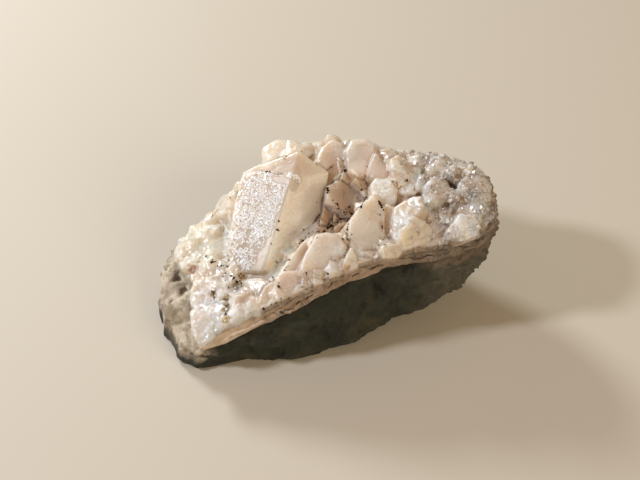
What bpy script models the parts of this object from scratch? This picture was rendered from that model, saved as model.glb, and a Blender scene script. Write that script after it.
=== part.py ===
"""Calcite specimen: a crust of calcite crystals on a wedge of dark host rock.

Every length below is in millimetres and becomes metres when a mesh is made.
X runs along the specimen to its overhanging end, Y to its back and Z up.
The drawing frame is moved at the end, so that the origin is the middle of the base.
"""
import math
import random

import bmesh
import bpy
from mathutils import Matrix, Vector, geometry, noise

MM = 0.001

# Driving sizes
GAP = 0.35
CENTRE = Vector((0.0, -0.5))
FRONT_Y = -14.0
BED_RISE_TO_BACK = 0.10
BED_FALL_Y = 6.0
BED_FALL = 0.006
FLOOR_CUT = 1.2
SEED = 14

# Height of the rock's top face along its front edge, as (x, z)
BED_PROFILE = (
    (-35.0, 2.6), (-27.0, 5.3), (-20.0, 8.8), (-14.0, 11.6), (-7.0, 14.5),
    (-3.0, 16.0), (3.0, 17.5), (15.0, 19.4), (28.0, 21.2), (36.0, 22.4),
)

# Stations round the specimen, anticlockwise from the left tip of the front edge:
# crust edge (x, y), rock edge (x, y), base (x, y, z), bulge between edge and base
STATIONS = (
    ((-26.9, -13.8), (-28.4, -14.4), (-29.2, -13.8, -1.2), 0.3),
    ((-19.8, -14.4), (-19.9, -15.3), (-19.4, -15.2, -1.2), 0.5),
    ((-11.5, -14.6), (-11.6, -15.5), (-11.4, -16.6, -1.2), 0.9),
    ((-3.3, -14.2), (-3.4, -15.1), (-4.5, -17.0, -1.0), 1.1),
    ((4.0, -13.5), (4.0, -14.4), (3.5, -16.2, 0.3), 1.5),
    ((12.0, -13.5), (12.0, -14.4), (12.0, -14.6, 2.8), 1.7),
    ((20.4, -14.9), (20.6, -15.8), (20.0, -14.8, 6.2), 1.5),
    ((27.6, -14.4), (28.2, -15.3), (26.4, -13.8, 10.4), 1.3),
    ((31.4, -11.5), (32.3, -12.0), (30.4, -10.7, 14.2), 1.0),
    ((32.9, -4.0), (33.8, -4.0), (31.6, -3.6, 15.2), 0.8),
    ((30.9, 0.8), (31.8, 1.2), (29.5, 1.4, 13.6), 0.9),
    ((25.6, 5.0), (26.4, 5.9), (23.6, 6.0, 8.6), 1.2),
    ((17.4, 9.4), (18.0, 10.5), (15.2, 10.2, 3.2), 1.5),
    ((8.6, 16.2), (8.9, 17.4), (7.4, 15.8, -0.4), 1.7),
    ((-1.0, 19.0), (-1.1, 20.4), (-2.4, 18.4, -1.2), 1.7),
    ((-10.0, 17.2), (-10.4, 18.8), (-11.2, 17.2, -1.2), 1.4),
    ((-18.6, 11.6), (-19.6, 13.4), (-20.2, 12.8, -1.2), 1.0),
    ((-25.4, 9.6), (-27.2, 11.4), (-28.0, 11.0, -1.2), 0.7),
    ((-28.8, 6.6), (-31.6, 7.4), (-32.4, 7.2, -1.2), 0.5),
    ((-27.2, 2.2), (-32.2, 1.6), (-33.0, 1.4, -1.2), 0.5),
    ((-26.2, -2.5), (-32.3, -4.0), (-33.4, -5.0, -1.2), 0.5),
    ((-26.6, -8.5), (-31.2, -10.5), (-32.4, -11.5, -1.2), 0.4),
)
STEPS_PER_STATION = 3
BED_RINGS = (0.5, 1.0)

# Rock: its rows, its edge where it reaches beyond the crust, and its rough places
# as (how far they stand out, size of a lump, seed)
ROCK_ROWS = 5
EDGE_DROP = 0.5
EDGE_REACH = 1.2
EDGE_LIFT = 0.22
EDGE_LUMPS = (1.0, 5.0, 3.0)
WALL_LUMPS = (1.2, 9.0, 1.0)
WALL_CHIPS = (0.5, 4.2, 2.0)
FOOT_LUMPS = (1.1, 7.0, 4.0)
LEDGE_OUT = 0.5
LEDGES_PER_MM = 1.3
LEDGE_WAVES = (3.0, 12.0, 5.0)

# Underside: rises to the right from a line that slants back, faster further out
UNDERSIDE_RINGS = (0.82, 0.55, 0.27)
UNDERSIDE_START_X = 5.0
UNDERSIDE_SLANT = 0.30
UNDERSIDE_SLANT_MOST = 5.0
UNDERSIDE_SLOPE = 0.33
UNDERSIDE_CURVE = 0.006
UNDERSIDE_LUMPS = (0.9, 6.0, 6.0)
UNDERSIDE_CLEAR = 0.5

# Contact band: its layers as (share of its thickness, how far each stands out)
BAND_THICK_INSIDE = 1.1
BAND_THICK_LEFT = 2.6
BAND_THICK_RIGHT = 2.0
BAND_LAYERS = ((0.0, 0.55), (0.45, 0.95), (0.55, 0.35), (1.0, 0.15))
BAND_TORN = (0.7, 2.2, 8.0)
BAND_LAYER_SHIFT = 4.0
BAND_INSET = 0.06
BAND_LEAST_OUT = 0.12

# Slab of grown-together calcite, in which the crystals stand
SLAB_THICK = 1.3
SLAB_LUMPS = (0.39, 6.0, 11.0)
SLAB_IN_HOLLOW = 0.7
SLAB_BELOW = 1.0
SLAB_EDGE_Z = 0.5
SLAB_EDGE_OUT = 0.25
SLAB_EDGE_LUMPS = (0.35, 3.0, 12.0)
UNDERCUT_REACH = 1.35
UNDERCUT_Z = -30.0

# Large crystal: the outward direction of each flat face, and a point on it
LARGE_CRYSTAL = (
    ((-0.488, -0.357, 0.797), (-4.2, 5.2, 28.0)),
    ((0.220, -0.735, 0.641), (-4.2, 5.2, 28.0)),
    ((-0.321, -0.080, 0.944), (-4.2, 5.2, 28.0)),
    ((0.229, -0.365, 0.902), (-4.2, 5.2, 28.0)),
    ((0.89, -0.44, -0.06), (1.7, 3.0, 23.5)),
    ((0.67, -0.72, -0.16), (-4.1, -3.4, 18.1)),
    ((0.07, -0.95, -0.29), (-10.8, -7.0, 16.3)),
    ((-0.46, -0.84, -0.30), (-16.1, -5.5, 15.9)),
    ((-0.99, 0.10, -0.06), (-18.6, -1.3, 16.3)),
    ((-0.89, 0.46, 0.06), (-15.5, 6.3, 21.6)),
    ((0.00, 0.95, 0.30), (-7.0, 10.9, 27.6)),
    ((0.72, 0.65, 0.27), (1.0, 8.2, 27.9)),
    ((0.09, 0.30, -0.95), (-10.0, 0.0, 10.0)),
)

# Crystals placed by hand: highest point (x, y, z), lean of the axis (x, y), radius, turn, dome
BLOCKY = (
    ((15.1, 5.2, 28.0), (-0.20, 0.10), 2.3, 45, "rhomb"),
    ((19.0, -8.7, 26.3), (-0.10, -0.40), 2.5, 27, "rhomb"),
    ((25.9, -8.1, 27.3), (0.10, -0.35), 2.7, 50, "nailhead"),
    ((28.8, -11.0, 26.8), (0.45, -0.25), 2.5, 36, "nailhead"),
    ((-0.2, 15.6, 25.4), (0.05, 0.05), 3.0, 0, "nailhead"),
    ((-10.6, 14.4, 21.9), (-0.30, 0.10), 2.6, 33, "rhomb"),
    ((-16.2, 11.2, 18.8), (-0.35, 0.15), 3.2, 12, "nailhead"),
    ((-16.8, 7.6, 18.0), (-0.40, -0.05), 2.6, 52, "rhomb"),
    ((-22.0, 8.2, 15.8), (-0.40, 0.10), 3.0, 2, "nailhead"),
    ((-27.0, 6.8, 13.2), (-0.50, 0.15), 3.0, 19, "nailhead"),
    ((-22.0, 3.9, 14.8), (-0.35, -0.05), 2.9, 41, "nailhead"),
    ((-25.5, 0.6, 12.6), (-0.30, -0.15), 2.7, 26, "nailhead"),
    ((2.4, -9.2, 21.9), (0.05, -0.30), 1.7, 17, "rhomb"),
    ((19.6, -13.0, 24.6), (0.00, -0.60), 2.6, 39, "nailhead"),
    ((19.9, -0.6, 27.4), (0.00, -0.10), 2.5, 11, "rhomb"),
    ((26.8, -0.4, 28.0), (0.15, 0.20), 2.6, 42, "nailhead"),
    ((20.3, 3.5, 27.8), (0.00, 0.20), 2.4, 29, "rhomb"),
    ((24.0, 2.4, 28.0), (0.10, 0.25), 2.4, 21, "nailhead"),
    ((28.0, -13.6, 25.4), (0.40, -0.50), 2.0, 34, "rhomb"),
)

# Crystals that end in one broad flat face: its middle (x, y, z), lean (x, y), and its
# corners across and up from the middle
PLATED = (
    ((6.1, 1.5, 23.6), (0.30, -0.35),
     ((-3.8, 2.6), (-1.4, 3.6), (2.3, 3.4), (3.8, 1.3), (4.2, -0.7), (2.3, -2.8), (-0.4, -4.5),
      (-2.1, -3.2), (-4.4, 0.2))),
    ((1.9, 0.0, 22.0), (0.20, -0.50),
     ((0.5, 3.7), (1.9, 2.6), (1.8, 0.6), (0.6, -2.0), (-1.4, -3.2), (-2.4, -1.8), (-0.9, 0.0))),
    ((5.2, 6.6, 25.5), (-0.10, -0.45),
     ((-2.2, 0.6), (1.0, 2.7), (2.1, 2.1), (2.0, 0.6), (1.1, -1.1), (-0.7, -2.1), (-2.4, -2.4))),
    ((7.2, 5.1, 25.3), (0.10, -0.40),
     ((-0.3, 1.9), (1.1, 0.5), (1.5, -1.3), (-0.7, -1.2), (-1.6, 0.0))),
    ((9.8, 3.0, 25.4), (0.30, -0.40),
     ((-2.1, 0.7), (-0.5, 1.6), (1.0, 1.3), (1.8, 0.0), (0.7, -1.7), (-1.0, -1.8))),
    ((9.7, 0.6, 24.5), (0.40, -0.40),
     ((-1.1, 0.8), (0.8, 1.1), (0.4, -0.9), (-0.6, -1.3))),
    ((7.2, -8.3, 24.7), (-0.10, -0.65),
     ((-3.2, 2.2), (-0.6, 4.6), (2.2, 5.8), (3.6, 4.1), (3.3, 0.6), (2.9, -1.8), (0.7, -4.2),
      (-1.7, -5.6), (-3.3, -5.1), (-4.1, -0.7))),
    ((3.0, -4.7, 21.4), (0.00, -0.50),
     ((-1.3, 0.8), (0.5, 1.8), (1.6, 1.2), (0.7, -1.6), (-0.5, -1.8), (-1.4, -0.7))),
    ((4.0, -1.5, 21.6), (0.35, -0.55),
     ((-0.5, 2.9), (0.8, 1.1), (2.1, 0.0), (1.0, -1.3), (-1.3, -1.7), (-2.0, -0.7))),
    ((-1.9, -10.3, 22.4), (-0.05, -0.60),
     ((-0.5, 4.1), (1.5, 3.9), (3.2, 3.0), (4.3, 1.7), (4.3, 0.1), (3.0, -1.6), (0.4, -3.1),
      (-2.8, -3.7), (-4.3, -2.9), (-4.8, -1.6), (-3.8, 0.4))),
    ((-6.1, -7.6, 19.9), (0.00, -0.55),
     ((0.7, 2.1), (2.7, 3.4), (3.1, 2.1), (1.1, -0.5), (-0.1, -2.3), (-2.9, -2.8), (-4.2, -2.0))),
    ((-8.5, -12.3, 18.9), (0.00, -0.55),
     ((-2.9, 1.5), (-1.5, 2.3), (1.3, 1.9), (2.6, 1.2), (2.8, -0.1), (1.8, -1.8), (0.1, -2.7),
      (-1.8, -1.9), (-2.7, -0.3))),
    ((-15.0, -9.2, 16.1), (-0.67, -0.35),
     ((-2.7, 1.7), (-1.4, 1.9), (1.3, 1.1), (3.1, -0.6), (1.6, -1.2), (0.0, -2.3), (-1.6, -0.6))),
    ((-13.1, -12.5, 16.9), (-0.10, -0.60),
     ((0.7, 2.1), (2.3, 0.6), (1.9, -0.8), (0.0, -1.8), (-2.4, -1.5), (-2.1, -0.1), (-0.7, 1.5))),
    ((-18.2, -11.9, 14.4), (-0.15, -0.45),
     ((-1.7, 2.0), (2.0, 2.4), (2.8, 0.1), (-0.3, -1.7), (-3.0, -3.0))),
    ((-23.5, -7.0, 12.8), (-0.35, -0.25),
     ((-3.3, 4.4), (0.6, 3.5), (3.3, 1.6), (3.7, -1.7), (2.3, -3.8), (-1.5, -3.4), (-4.9, -0.5))),
    ((-25.4, -13.0, 11.0), (-0.30, -0.45),
     ((-3.0, 4.3), (0.5, 2.9), (4.5, 2.3), (4.2, -0.3), (0.8, -1.8), (-1.3, -3.5), (-2.5, -3.5),
      (-3.6, -0.2))),
    ((-21.8, -1.8, 14.1), (-0.30, -0.30),
     ((-2.0, 2.3), (0.4, 2.7), (2.9, 0.2), (1.8, -3.1), (-1.0, -1.8), (-2.4, 0.0))),
    ((-18.2, -5.1, 15.3), (-0.35, -0.40),
     ((-1.4, 1.8), (0.7, 2.2), (1.6, -1.2), (0.7, -2.0), (-1.8, -1.2))),
    ((12.1, -1.5, 26.3), (-0.30, -0.35),
     ((-1.9, 2.4), (-0.4, 3.3), (2.0, 2.0), (2.6, -0.2), (1.6, -2.4), (-0.1, -3.2), (-1.5, -1.5),
      (-2.3, 0.1))),
    ((12.6, 3.8, 27.4), (-0.10, -0.35),
     ((-2.3, -0.6), (-0.8, 2.0), (0.5, 3.4), (1.6, 0.8), (1.8, -1.4), (0.7, -2.6), (-1.4, -2.0))),
    ((16.4, 1.4, 28.2), (0.00, -0.55),
     ((-1.3, 2.6), (0.3, 3.0), (1.3, 1.8), (1.8, -0.7), (0.5, -2.4), (-1.2, -3.0), (-1.8, -0.6))),
    ((14.1, -8.7, 26.3), (-0.60, -0.35),
     ((-1.6, 2.6), (0.3, 2.4), (2.3, 3.5), (3.9, 2.7), (3.8, 0.6), (2.1, -0.2), (-1.1, -1.9),
      (-2.5, -3.3), (-3.3, -4.2), (-3.8, -1.8))),
    ((15.6, -12.2, 25.1), (0.15, -0.75),
     ((-0.3, 3.8), (1.4, 2.4), (3.5, 0.4), (4.5, -0.9), (2.7, -2.2), (-0.7, -2.1), (-3.5, -2.6),
      (-3.9, -0.4), (-2.9, 1.5))),
    ((24.0, -14.1, 26.3), (0.05, -0.50),
     ((-2.9, 0.5), (-0.4, 2.8), (2.1, 2.2), (3.0, 0.2), (2.0, -2.0), (-0.7, -2.4), (-2.7, -1.3))),
    ((22.3, -5.1, 27.5), (0.10, -0.35),
     ((-2.0, 2.3), (0.2, 3.4), (1.8, 2.1), (2.6, -0.7), (1.2, -2.3), (-1.1, -2.8), (-2.7, -1.5))),
    ((29.2, -5.8, 28.2), (0.30, 0.00),
     ((-3.0, 0.8), (0.5, 4.3), (2.4, 2.4), (3.2, -0.4), (1.5, -3.1), (-1.6, -3.1), (-3.2, -1.2))),
    ((11.2, -7.2, 25.1), (-0.20, -0.50),
     ((0.1, 2.9), (1.7, 2.0), (0.7, -0.3), (-0.4, -2.4), (-1.1, -2.4), (-0.8, 0.1))),
    ((10.5, 7.7, 27.5), (-0.10, -0.20),
     ((-2.8, 2.1), (-0.6, 4.5), (2.1, 3.8), (3.3, 1.5), (2.9, -1.4), (0.6, -4.3), (-2.0, -4.4),
      (-3.2, -1.8))),
    ((5.4, 10.8, 26.7), (-0.10, -0.20),
     ((-3.5, -0.6), (-1.6, 2.2), (1.0, 3.5), (2.8, 1.8), (2.6, -1.6), (0.8, -1.9), (-2.0, -3.5))),
    ((-3.4, 16.6, 24.7), (-0.20, 0.00),
     ((-3.9, 2.3), (-0.7, 3.4), (3.3, 1.1), (3.9, -2.0), (1.2, -2.8), (-3.5, -1.9))),
    ((2.3, -13.2, 22.2), (0.05, -0.70),
     ((-0.9, 0.9), (0.7, 2.7), (1.4, 0.5), (1.2, -1.5), (-0.8, -1.9), (-1.8, -1.0))),
    ((10.1, -13.8, 23.7), (0.05, -0.65),
     ((-1.7, 1.2), (-0.1, 1.7), (1.6, 0.7), (2.0, -0.8), (0.0, -1.7), (-1.8, -1.1))),
)

# Bevel round such a face and its drop, how much the sides widen with depth, how far out
# their feet may stand, and how far other crystals keep off
PLATE_BEVEL = 0.30
PLATE_BEVEL_DROP = 0.16
PLATE_WIDEN = 0.55
PLATE_EDGE_SHARE = 0.985
PLATE_KEEP_OFF = 0.9
PLATE_KEEP_OFF_RIM = 0.3

# Small crystals between them, finer towards the sugary right end
SMALL_FIELD = (-30.0, 34.0, -16.0, 22.0)
SMALL_SPACING_LEFT = 3.7
SMALL_SPACING_RIGHT = 3.1
SUGARY_FROM_X = 17.0
SMALL_JITTER = 0.3
SMALL_KEEP_OFF = 0.62
SMALL_KEEP_OFF_LARGE = 1.5
SMALL_EDGE_SHARE = 0.97
SMALL_RADIUS = (0.58, 0.85)
SMALL_STAND_OUT = (0.3, 1.5)
SMALL_LEAN_OUT = 0.45
SMALL_LEAN = 0.3

# Crystals that lean out along the crust's edge
RIM_SPACING = 2.9
RIM_SHARE = (0.92, 0.98)
RIM_FLOOR_SHARE = 0.95
RIM_STAND_OUT = (0.0, 0.9)
RIM_RADIUS = (1.5, 2.3)
RIM_LEAN = (0.45, 0.90)

# Low crystals that fill the places left between the broad flat ones
FILL_SPACING = 2.1
FILL_FROM_X = 20.0
FILL_KEEP_OFF = 0.1
FILL_KEEP_OFF_LARGE = 0.9
FILL_KEEP_OFF_SMALL = 1.7
FILL_RADIUS = (1.2, 1.7)
FILL_STAND_OUT = (0.2, 1.0)

# How far from a broad flat crystal the small ones rise to it, and how much lower they stay
BESIDE_REACH = 2.6
BESIDE_NEAREST = 0.4
BESIDE_SINK = (0.15, 0.60)
BESIDE_KEEP_OFF_LARGE = 3.0
BESIDE_BACK_Y = 11.5

# Hollow in which the small crystals and the slab lie lower
HOLLOW = (3.0, -2.5)
HOLLOW_DEPTH = 1.4
HOLLOW_REACH = 4.5

# Shape of one crystal: how deep it is rooted, how unequal its faces are, and the slope
# of a dome face from level in degrees, for a flat nailhead or a steeper rhomb
ROOT_DEPTH = 2.5
SIDE_REACH = (0.82, 1.12)
DOME_FACE_TURN = 30.0
DOME_TILT = (0.8, 1.2)
DOME_OFFSET = 0.12
DOME_SLOPE = {"nailhead": 24.0, "rhomb": 43.0}

FINISHES = {
    "host_rock": ((0.085, 0.085, 0.065), 0.85),
    "contact_band": ((0.46, 0.33, 0.25), 0.70),
    "calcite_crystals": ((0.74, 0.64, 0.55), 0.30),
}


def between(table, x):
    """Read a table of (x, value) pairs at x, along straight lines."""
    for (x0, v0), (x1, v1) in zip(table, table[1:]):
        if x <= x1:
            return v0 + (v1 - v0) * max(0.0, (x - x0) / (x1 - x0))
    return table[-1][1]


def bed(x, y):
    """Height of the rock's top face, on which the contact band lies."""
    rise = BED_RISE_TO_BACK * (y - FRONT_Y)
    fall = BED_FALL * max(0.0, y - BED_FALL_Y) ** 2
    return between(BED_PROFILE, x) + rise - fall


def band_thickness(x, share):
    """Thickness of the contact band, which thins away from the crust's edge."""
    edge = between(((-27.0, BAND_THICK_LEFT), (33.0, BAND_THICK_RIGHT)), x)
    return BAND_THICK_INSIDE + (edge - BAND_THICK_INSIDE) * share ** 3


def around(column):
    """Closed loop of points through one column of the stations, with steps between them."""
    points = [Vector(station[column]) for station in STATIONS]
    loop = []
    for here, there in zip(points, points[1:] + points[:1]):
        for step in range(STEPS_PER_STATION):
            loop.append(here.lerp(there, step / STEPS_PER_STATION))
    return loop


def bulges():
    """The bulge below the rock's edge, at each point of the loops."""
    values = [station[3] for station in STATIONS]
    loop = []
    for here, there in zip(values, values[1:] + values[:1]):
        for step in range(STEPS_PER_STATION):
            loop.append(here + (there - here) * step / STEPS_PER_STATION)
    return loop


def ragged(point, lumps):
    """Seeded noise at a point, from (how far it stands out, size of a lump, seed)."""
    out, size, seed = lumps
    place = Vector(point) / size + Vector((seed, seed * 0.7, seed * 1.3))
    return out * noise.fractal(place, 0.8, 2.1, 3)


def outward(loop, index):
    """Level direction that points away from the specimen at a point of a loop."""
    before = loop[index - 1]
    after = loop[(index + 1) % len(loop)]
    along = Vector((after.x - before.x, after.y - before.y, 0.0)).normalized()
    return Vector((along.y, -along.x, 0.0))


def bed_rings(edge, height):
    """Rings from near the centre out to the edge, each point lifted to height(x, y, share)."""
    rings = []
    for share in BED_RINGS:
        flat = [CENTRE.lerp(point, share) for point in edge]
        rings.append([Vector((p.x, p.y, height(p.x, p.y, share))) for p in flat])
    return rings


def add_cap(bm, rings, middle):
    """Triangles from a middle point out over the rings; every cap is cut the same way."""
    hub = bm.verts.new(middle)
    loops = [[bm.verts.new(point) for point in ring] for ring in rings]
    count = len(loops[0])
    for j in range(count):
        bm.faces.new((hub, loops[0][j], loops[0][(j + 1) % count]))
    for inner, outer in zip(loops, loops[1:]):
        add_strip(bm, inner, outer)
    return loops[-1]


def add_strip(bm, inner, outer):
    """Triangles between two loops of as many points."""
    count = len(inner)
    for j in range(count):
        after = (j + 1) % count
        bm.faces.new((inner[j], outer[j], outer[after]))
        bm.faces.new((inner[j], outer[after], inner[after]))


def add_wall(bm, start, rows, end):
    """Triangles down a wall of rows between two loops that are there already."""
    loops = [start] + [[bm.verts.new(point) for point in row] for row in rows] + [end]
    for upper, lower in zip(loops, loops[1:]):
        add_strip(bm, upper, lower)


def middle_point(height):
    """The hub of a cap, at the specimen's centre."""
    return Vector((CENTRE.x, CENTRE.y, height(CENTRE.x, CENTRE.y, 0.0)))


def underside(x, y):
    """Height of the rock's underside: on the floor at the left, rising to the right end."""
    slant = min(UNDERSIDE_SLANT_MOST, UNDERSIDE_SLANT * (y - FRONT_Y))
    run = max(0.0, x - UNDERSIDE_START_X - slant)
    return -FLOOR_CUT + UNDERSIDE_SLOPE * run + UNDERSIDE_CURVE * run ** 2


def make_host_rock():
    """Broken wedge of rock: smooth where the band lies on it, rough and ledged elsewhere."""
    def height(x, y, share):
        return bed(x, y)

    bm = bmesh.new()
    crust_edge = around(0)
    rock_edge = around(1)
    base = around(2)
    bulge = bulges()
    inner = add_cap(bm, bed_rings(crust_edge, height), middle_point(height))

    brim = []
    for j, point in enumerate(rock_edge):
        spare = max(0.0, (point - crust_edge[j]).length - EDGE_REACH)
        lift = EDGE_LIFT * spare * (1.0 + ragged((point.x, point.y, 0.0), EDGE_LUMPS))
        brim.append(Vector((point.x, point.y, bed(point.x, point.y) - EDGE_DROP + lift)))

    rows = [brim]
    for row in range(1, ROCK_ROWS):
        share = row / ROCK_ROWS
        points = []
        for j in range(len(brim)):
            point = brim[j].lerp(base[j], share)
            away = outward(brim, j)
            lump = ragged(point, WALL_LUMPS) + ragged(point, WALL_CHIPS)
            ledge = LEDGE_OUT * math.sin(LEDGES_PER_MM * point.z + ragged(point, LEDGE_WAVES))
            out = bulge[j] * math.sin(math.pi * share) + lump + ledge * abs(away.y)
            points.append(point + away * out)
        rows.append(points)

    foot = []
    for j, point in enumerate(base):
        foot.append(point + outward(base, j) * ragged(point, FOOT_LUMPS))
    rows.append(foot)

    under = []
    for share in reversed(UNDERSIDE_RINGS):
        ring = []
        for point in foot:
            flat = CENTRE.lerp(point.xy, share)
            level = underside(flat.x, flat.y)
            z = level + (point.z - level) * share ** 2
            if z > UNDERSIDE_CLEAR:
                z += ragged((flat.x, flat.y, z), UNDERSIDE_LUMPS)
            ring.append(Vector((flat.x, flat.y, z)))
        under.append(ring)
    hub = Vector((CENTRE.x, CENTRE.y, -FLOOR_CUT))
    lowest = add_cap(bm, under, hub)
    add_wall(bm, inner, rows, lowest)

    faces = bm.verts[:] + bm.edges[:] + bm.faces[:]
    cut = bmesh.ops.bisect_plane(
        bm, geom=faces, dist=0.001, plane_co=(0.0, 0.0, 0.0), plane_no=(0.0, 0.0, -1.0),
        clear_outer=True)
    rim = [edge for edge in cut["geom_cut"] if isinstance(edge, bmesh.types.BMEdge)]
    bmesh.ops.holes_fill(bm, edges=rim, sides=0)
    return bm


def make_contact_band():
    """Layered sheet between rock and crystals, with ragged ledges along its edge."""
    def lower(x, y, share):
        return bed(x, y) + GAP

    def upper(x, y, share):
        return bed(x, y) + GAP + band_thickness(x, share)

    bm = bmesh.new()
    edge = around(0)
    top = add_cap(bm, bed_rings(edge, upper), middle_point(upper))
    bottom = add_cap(bm, bed_rings(edge, lower), middle_point(lower))
    rows = []
    for share, out in reversed(BAND_LAYERS):
        row = []
        for j, point in enumerate(edge):
            low = lower(point.x, point.y, 1.0)
            high = upper(point.x, point.y, 1.0)
            torn = ragged((point.x, point.y, BAND_LAYER_SHIFT * share), BAND_TORN)
            inset = BAND_INSET * (high - low)
            z = low + inset + (high - low - 2.0 * inset) * share
            away = outward(edge, j) * max(BAND_LEAST_OUT, out + torn)
            row.append(Vector((point.x, point.y, z)) + away)
        rows.append(row)
    add_wall(bm, top, rows, bottom)
    return bm


def crust_floor(x, y, share):
    """Height of the underside of the crystals, a gap above the contact band."""
    return bed(x, y) + 2.0 * GAP + band_thickness(x, share)


def crust_share(x, y):
    """How far out a point lies, from 0 at the centre to 1 at the crust's edge."""
    edge = around(0)
    spot = Vector((x, y)) - CENTRE
    for here, there in zip(edge, edge[1:] + edge[:1]):
        a = here - CENTRE
        b = there - CENTRE
        across = a.x * b.y - a.y * b.x
        u = (spot.x * b.y - spot.y * b.x) / across
        v = (a.x * spot.y - a.y * spot.x) / across
        if u >= 0.0 and v >= 0.0:
            return u + v
    return 0.0


def hollow(x, y):
    """How much lower the slab and the small crystals are in the brown hollow."""
    away = (Vector((x, y)) - Vector(HOLLOW)).length
    return HOLLOW_DEPTH * math.exp(-(away / HOLLOW_REACH) ** 2)


def make_slab():
    """Solid bed of grown-together calcite, in which the crystals stand."""
    def upper(x, y, share):
        thick = SLAB_THICK + ragged((x, y, 0.0), SLAB_LUMPS) - SLAB_IN_HOLLOW * hollow(x, y)
        return crust_floor(x, y, share) + thick

    def lower(x, y, share):
        return crust_floor(x, y, share) - SLAB_BELOW

    bm = bmesh.new()
    edge = around(0)
    top = add_cap(bm, bed_rings(edge, upper), middle_point(upper))
    bottom = add_cap(bm, bed_rings(edge, lower), middle_point(lower))
    row = []
    for j, point in enumerate(edge):
        z = crust_floor(point.x, point.y, 1.0) + SLAB_EDGE_Z
        out = SLAB_EDGE_OUT + ragged((point.x, point.y, 0.0), SLAB_EDGE_LUMPS)
        row.append(Vector((point.x, point.y, z)) + outward(edge, j) * out)
    add_wall(bm, top, [row], bottom)
    return bm


def make_undercut():
    """Everything below the crust's underside, to trim the crystals to the band."""
    def upper(x, y, share):
        return crust_floor(x, y, share)

    bm = bmesh.new()
    edge = around(0)
    rings = bed_rings(edge, upper)
    skirt = []
    for point in edge:
        far = CENTRE.lerp(point, UNDERCUT_REACH)
        skirt.append(Vector((far.x, far.y, crust_floor(far.x, far.y, 1.0))))
    rings.append(skirt)
    top = add_cap(bm, rings, middle_point(upper))
    hub = bm.verts.new((CENTRE.x, CENTRE.y, UNDERCUT_Z))
    for j in range(len(top)):
        bm.faces.new((hub, top[(j + 1) % len(top)], top[j]))
    return bm


def hull(points):
    """Convex solid through the given points, with its flat faces whole."""
    bm = bmesh.new()
    for point in points:
        bm.verts.new(point)
    bmesh.ops.remove_doubles(bm, verts=bm.verts, dist=0.02)
    result = bmesh.ops.convex_hull(bm, input=bm.verts)
    loose = {item for item in result["geom_interior"] if isinstance(item, bmesh.types.BMVert)}
    bmesh.ops.delete(bm, geom=list(loose), context="VERTS")
    bmesh.ops.dissolve_limit(bm, angle_limit=math.radians(1.0), verts=bm.verts, edges=bm.edges)
    return bm


def flat_faced(planes):
    """Solid inside the given planes, each an outward direction and its distance out."""
    walls = [Vector((n.x, n.y, n.z, -distance)) for n, distance in planes]
    return hull(geometry.points_in_planes(walls, 0.0005, 0.0001)[0])


def crystal(top, lean, radius, turn, dome, rng):
    """One blunt crystal: six sides with a three-faced dome, rooted in the slab."""
    axis = Vector((lean[0], lean[1], 1.0)).normalized()
    frame = Vector((0.0, 0.0, 1.0)).rotation_difference(axis).to_matrix()
    frame = frame @ Matrix.Rotation(math.radians(turn), 3, "Z")
    tip = Vector(top)
    slope = math.radians(DOME_SLOPE[dome])
    depth = tip.z - crust_floor(tip.x, tip.y, min(1.0, crust_share(tip.x, tip.y)))
    planes = []
    for side in range(6):
        angle = math.radians(60.0 * side)
        direction = frame @ Vector((math.cos(angle), math.sin(angle), 0.0))
        distance = radius * rng.uniform(*SIDE_REACH)
        planes.append((direction, direction.dot(tip) + distance))
    for face in range(3):
        angle = math.radians(120.0 * face + DOME_FACE_TURN)
        tilt = slope * rng.uniform(*DOME_TILT)
        local = Vector((math.sin(tilt) * math.cos(angle), math.sin(tilt) * math.sin(angle),
                        math.cos(tilt)))
        direction = frame @ local
        offset = rng.uniform(-DOME_OFFSET, DOME_OFFSET) * radius
        planes.append((direction, direction.dot(tip) + offset))
    down = -axis
    planes.append((down, down.dot(tip) + depth + ROOT_DEPTH))
    return flat_faced(planes)


def plate_corners(lean, corners):
    """A plate's outward direction, and its corners as steps away from its middle."""
    normal = Vector((lean[0], lean[1], 1.0)).normalized()
    across = (Vector((1.0, 0.0, 0.0)) - normal * normal.x).normalized()
    up = normal.cross(across)
    return normal, [across * u + up * v for u, v in corners]


def plate_outline(middle, lean, corners):
    """A plate's outline as seen from above."""
    return [Vector(middle[:2]) + step.xy for step in plate_corners(lean, corners)[1]]


def on_plate(spot, margin):
    """Whether a place seen from above lies on a plated crystal, or within a margin of it."""
    for middle, lean, corners in PLATED:
        flat = plate_outline(middle, lean, corners)
        depth = []
        for here, there in zip(flat, flat[1:] + flat[:1]):
            along = (there - here).normalized()
            depth.append((spot - here).dot(Vector((along.y, -along.x))))
        if min(depth) > -margin:
            return True
    return False


def nearest_on_outline(spot, flat):
    """The place on an outline that is nearest to a spot."""
    places = []
    for here, there in zip(flat, flat[1:] + flat[:1]):
        along = there - here
        share = (spot - here).dot(along) / along.length_squared
        places.append(here + along * min(1.0, max(0.0, share)))
    return min(places, key=lambda place: (place - spot).length)


def beside_plates(spot):
    """Height that the rims of the plated crystals round a spot have there, or None far from them."""
    total, weights = 0.0, 0.0
    for middle, lean, corners in PLATED:
        place = nearest_on_outline(spot, plate_outline(middle, lean, corners))
        gap = (place - spot).length
        if gap < BESIDE_REACH:
            weight = (gap + BESIDE_NEAREST) ** -2
            total += weight * (middle[2] - Vector(lean).dot(place - Vector(middle[:2])))
            weights += weight
    return total / weights if weights else None


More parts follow.
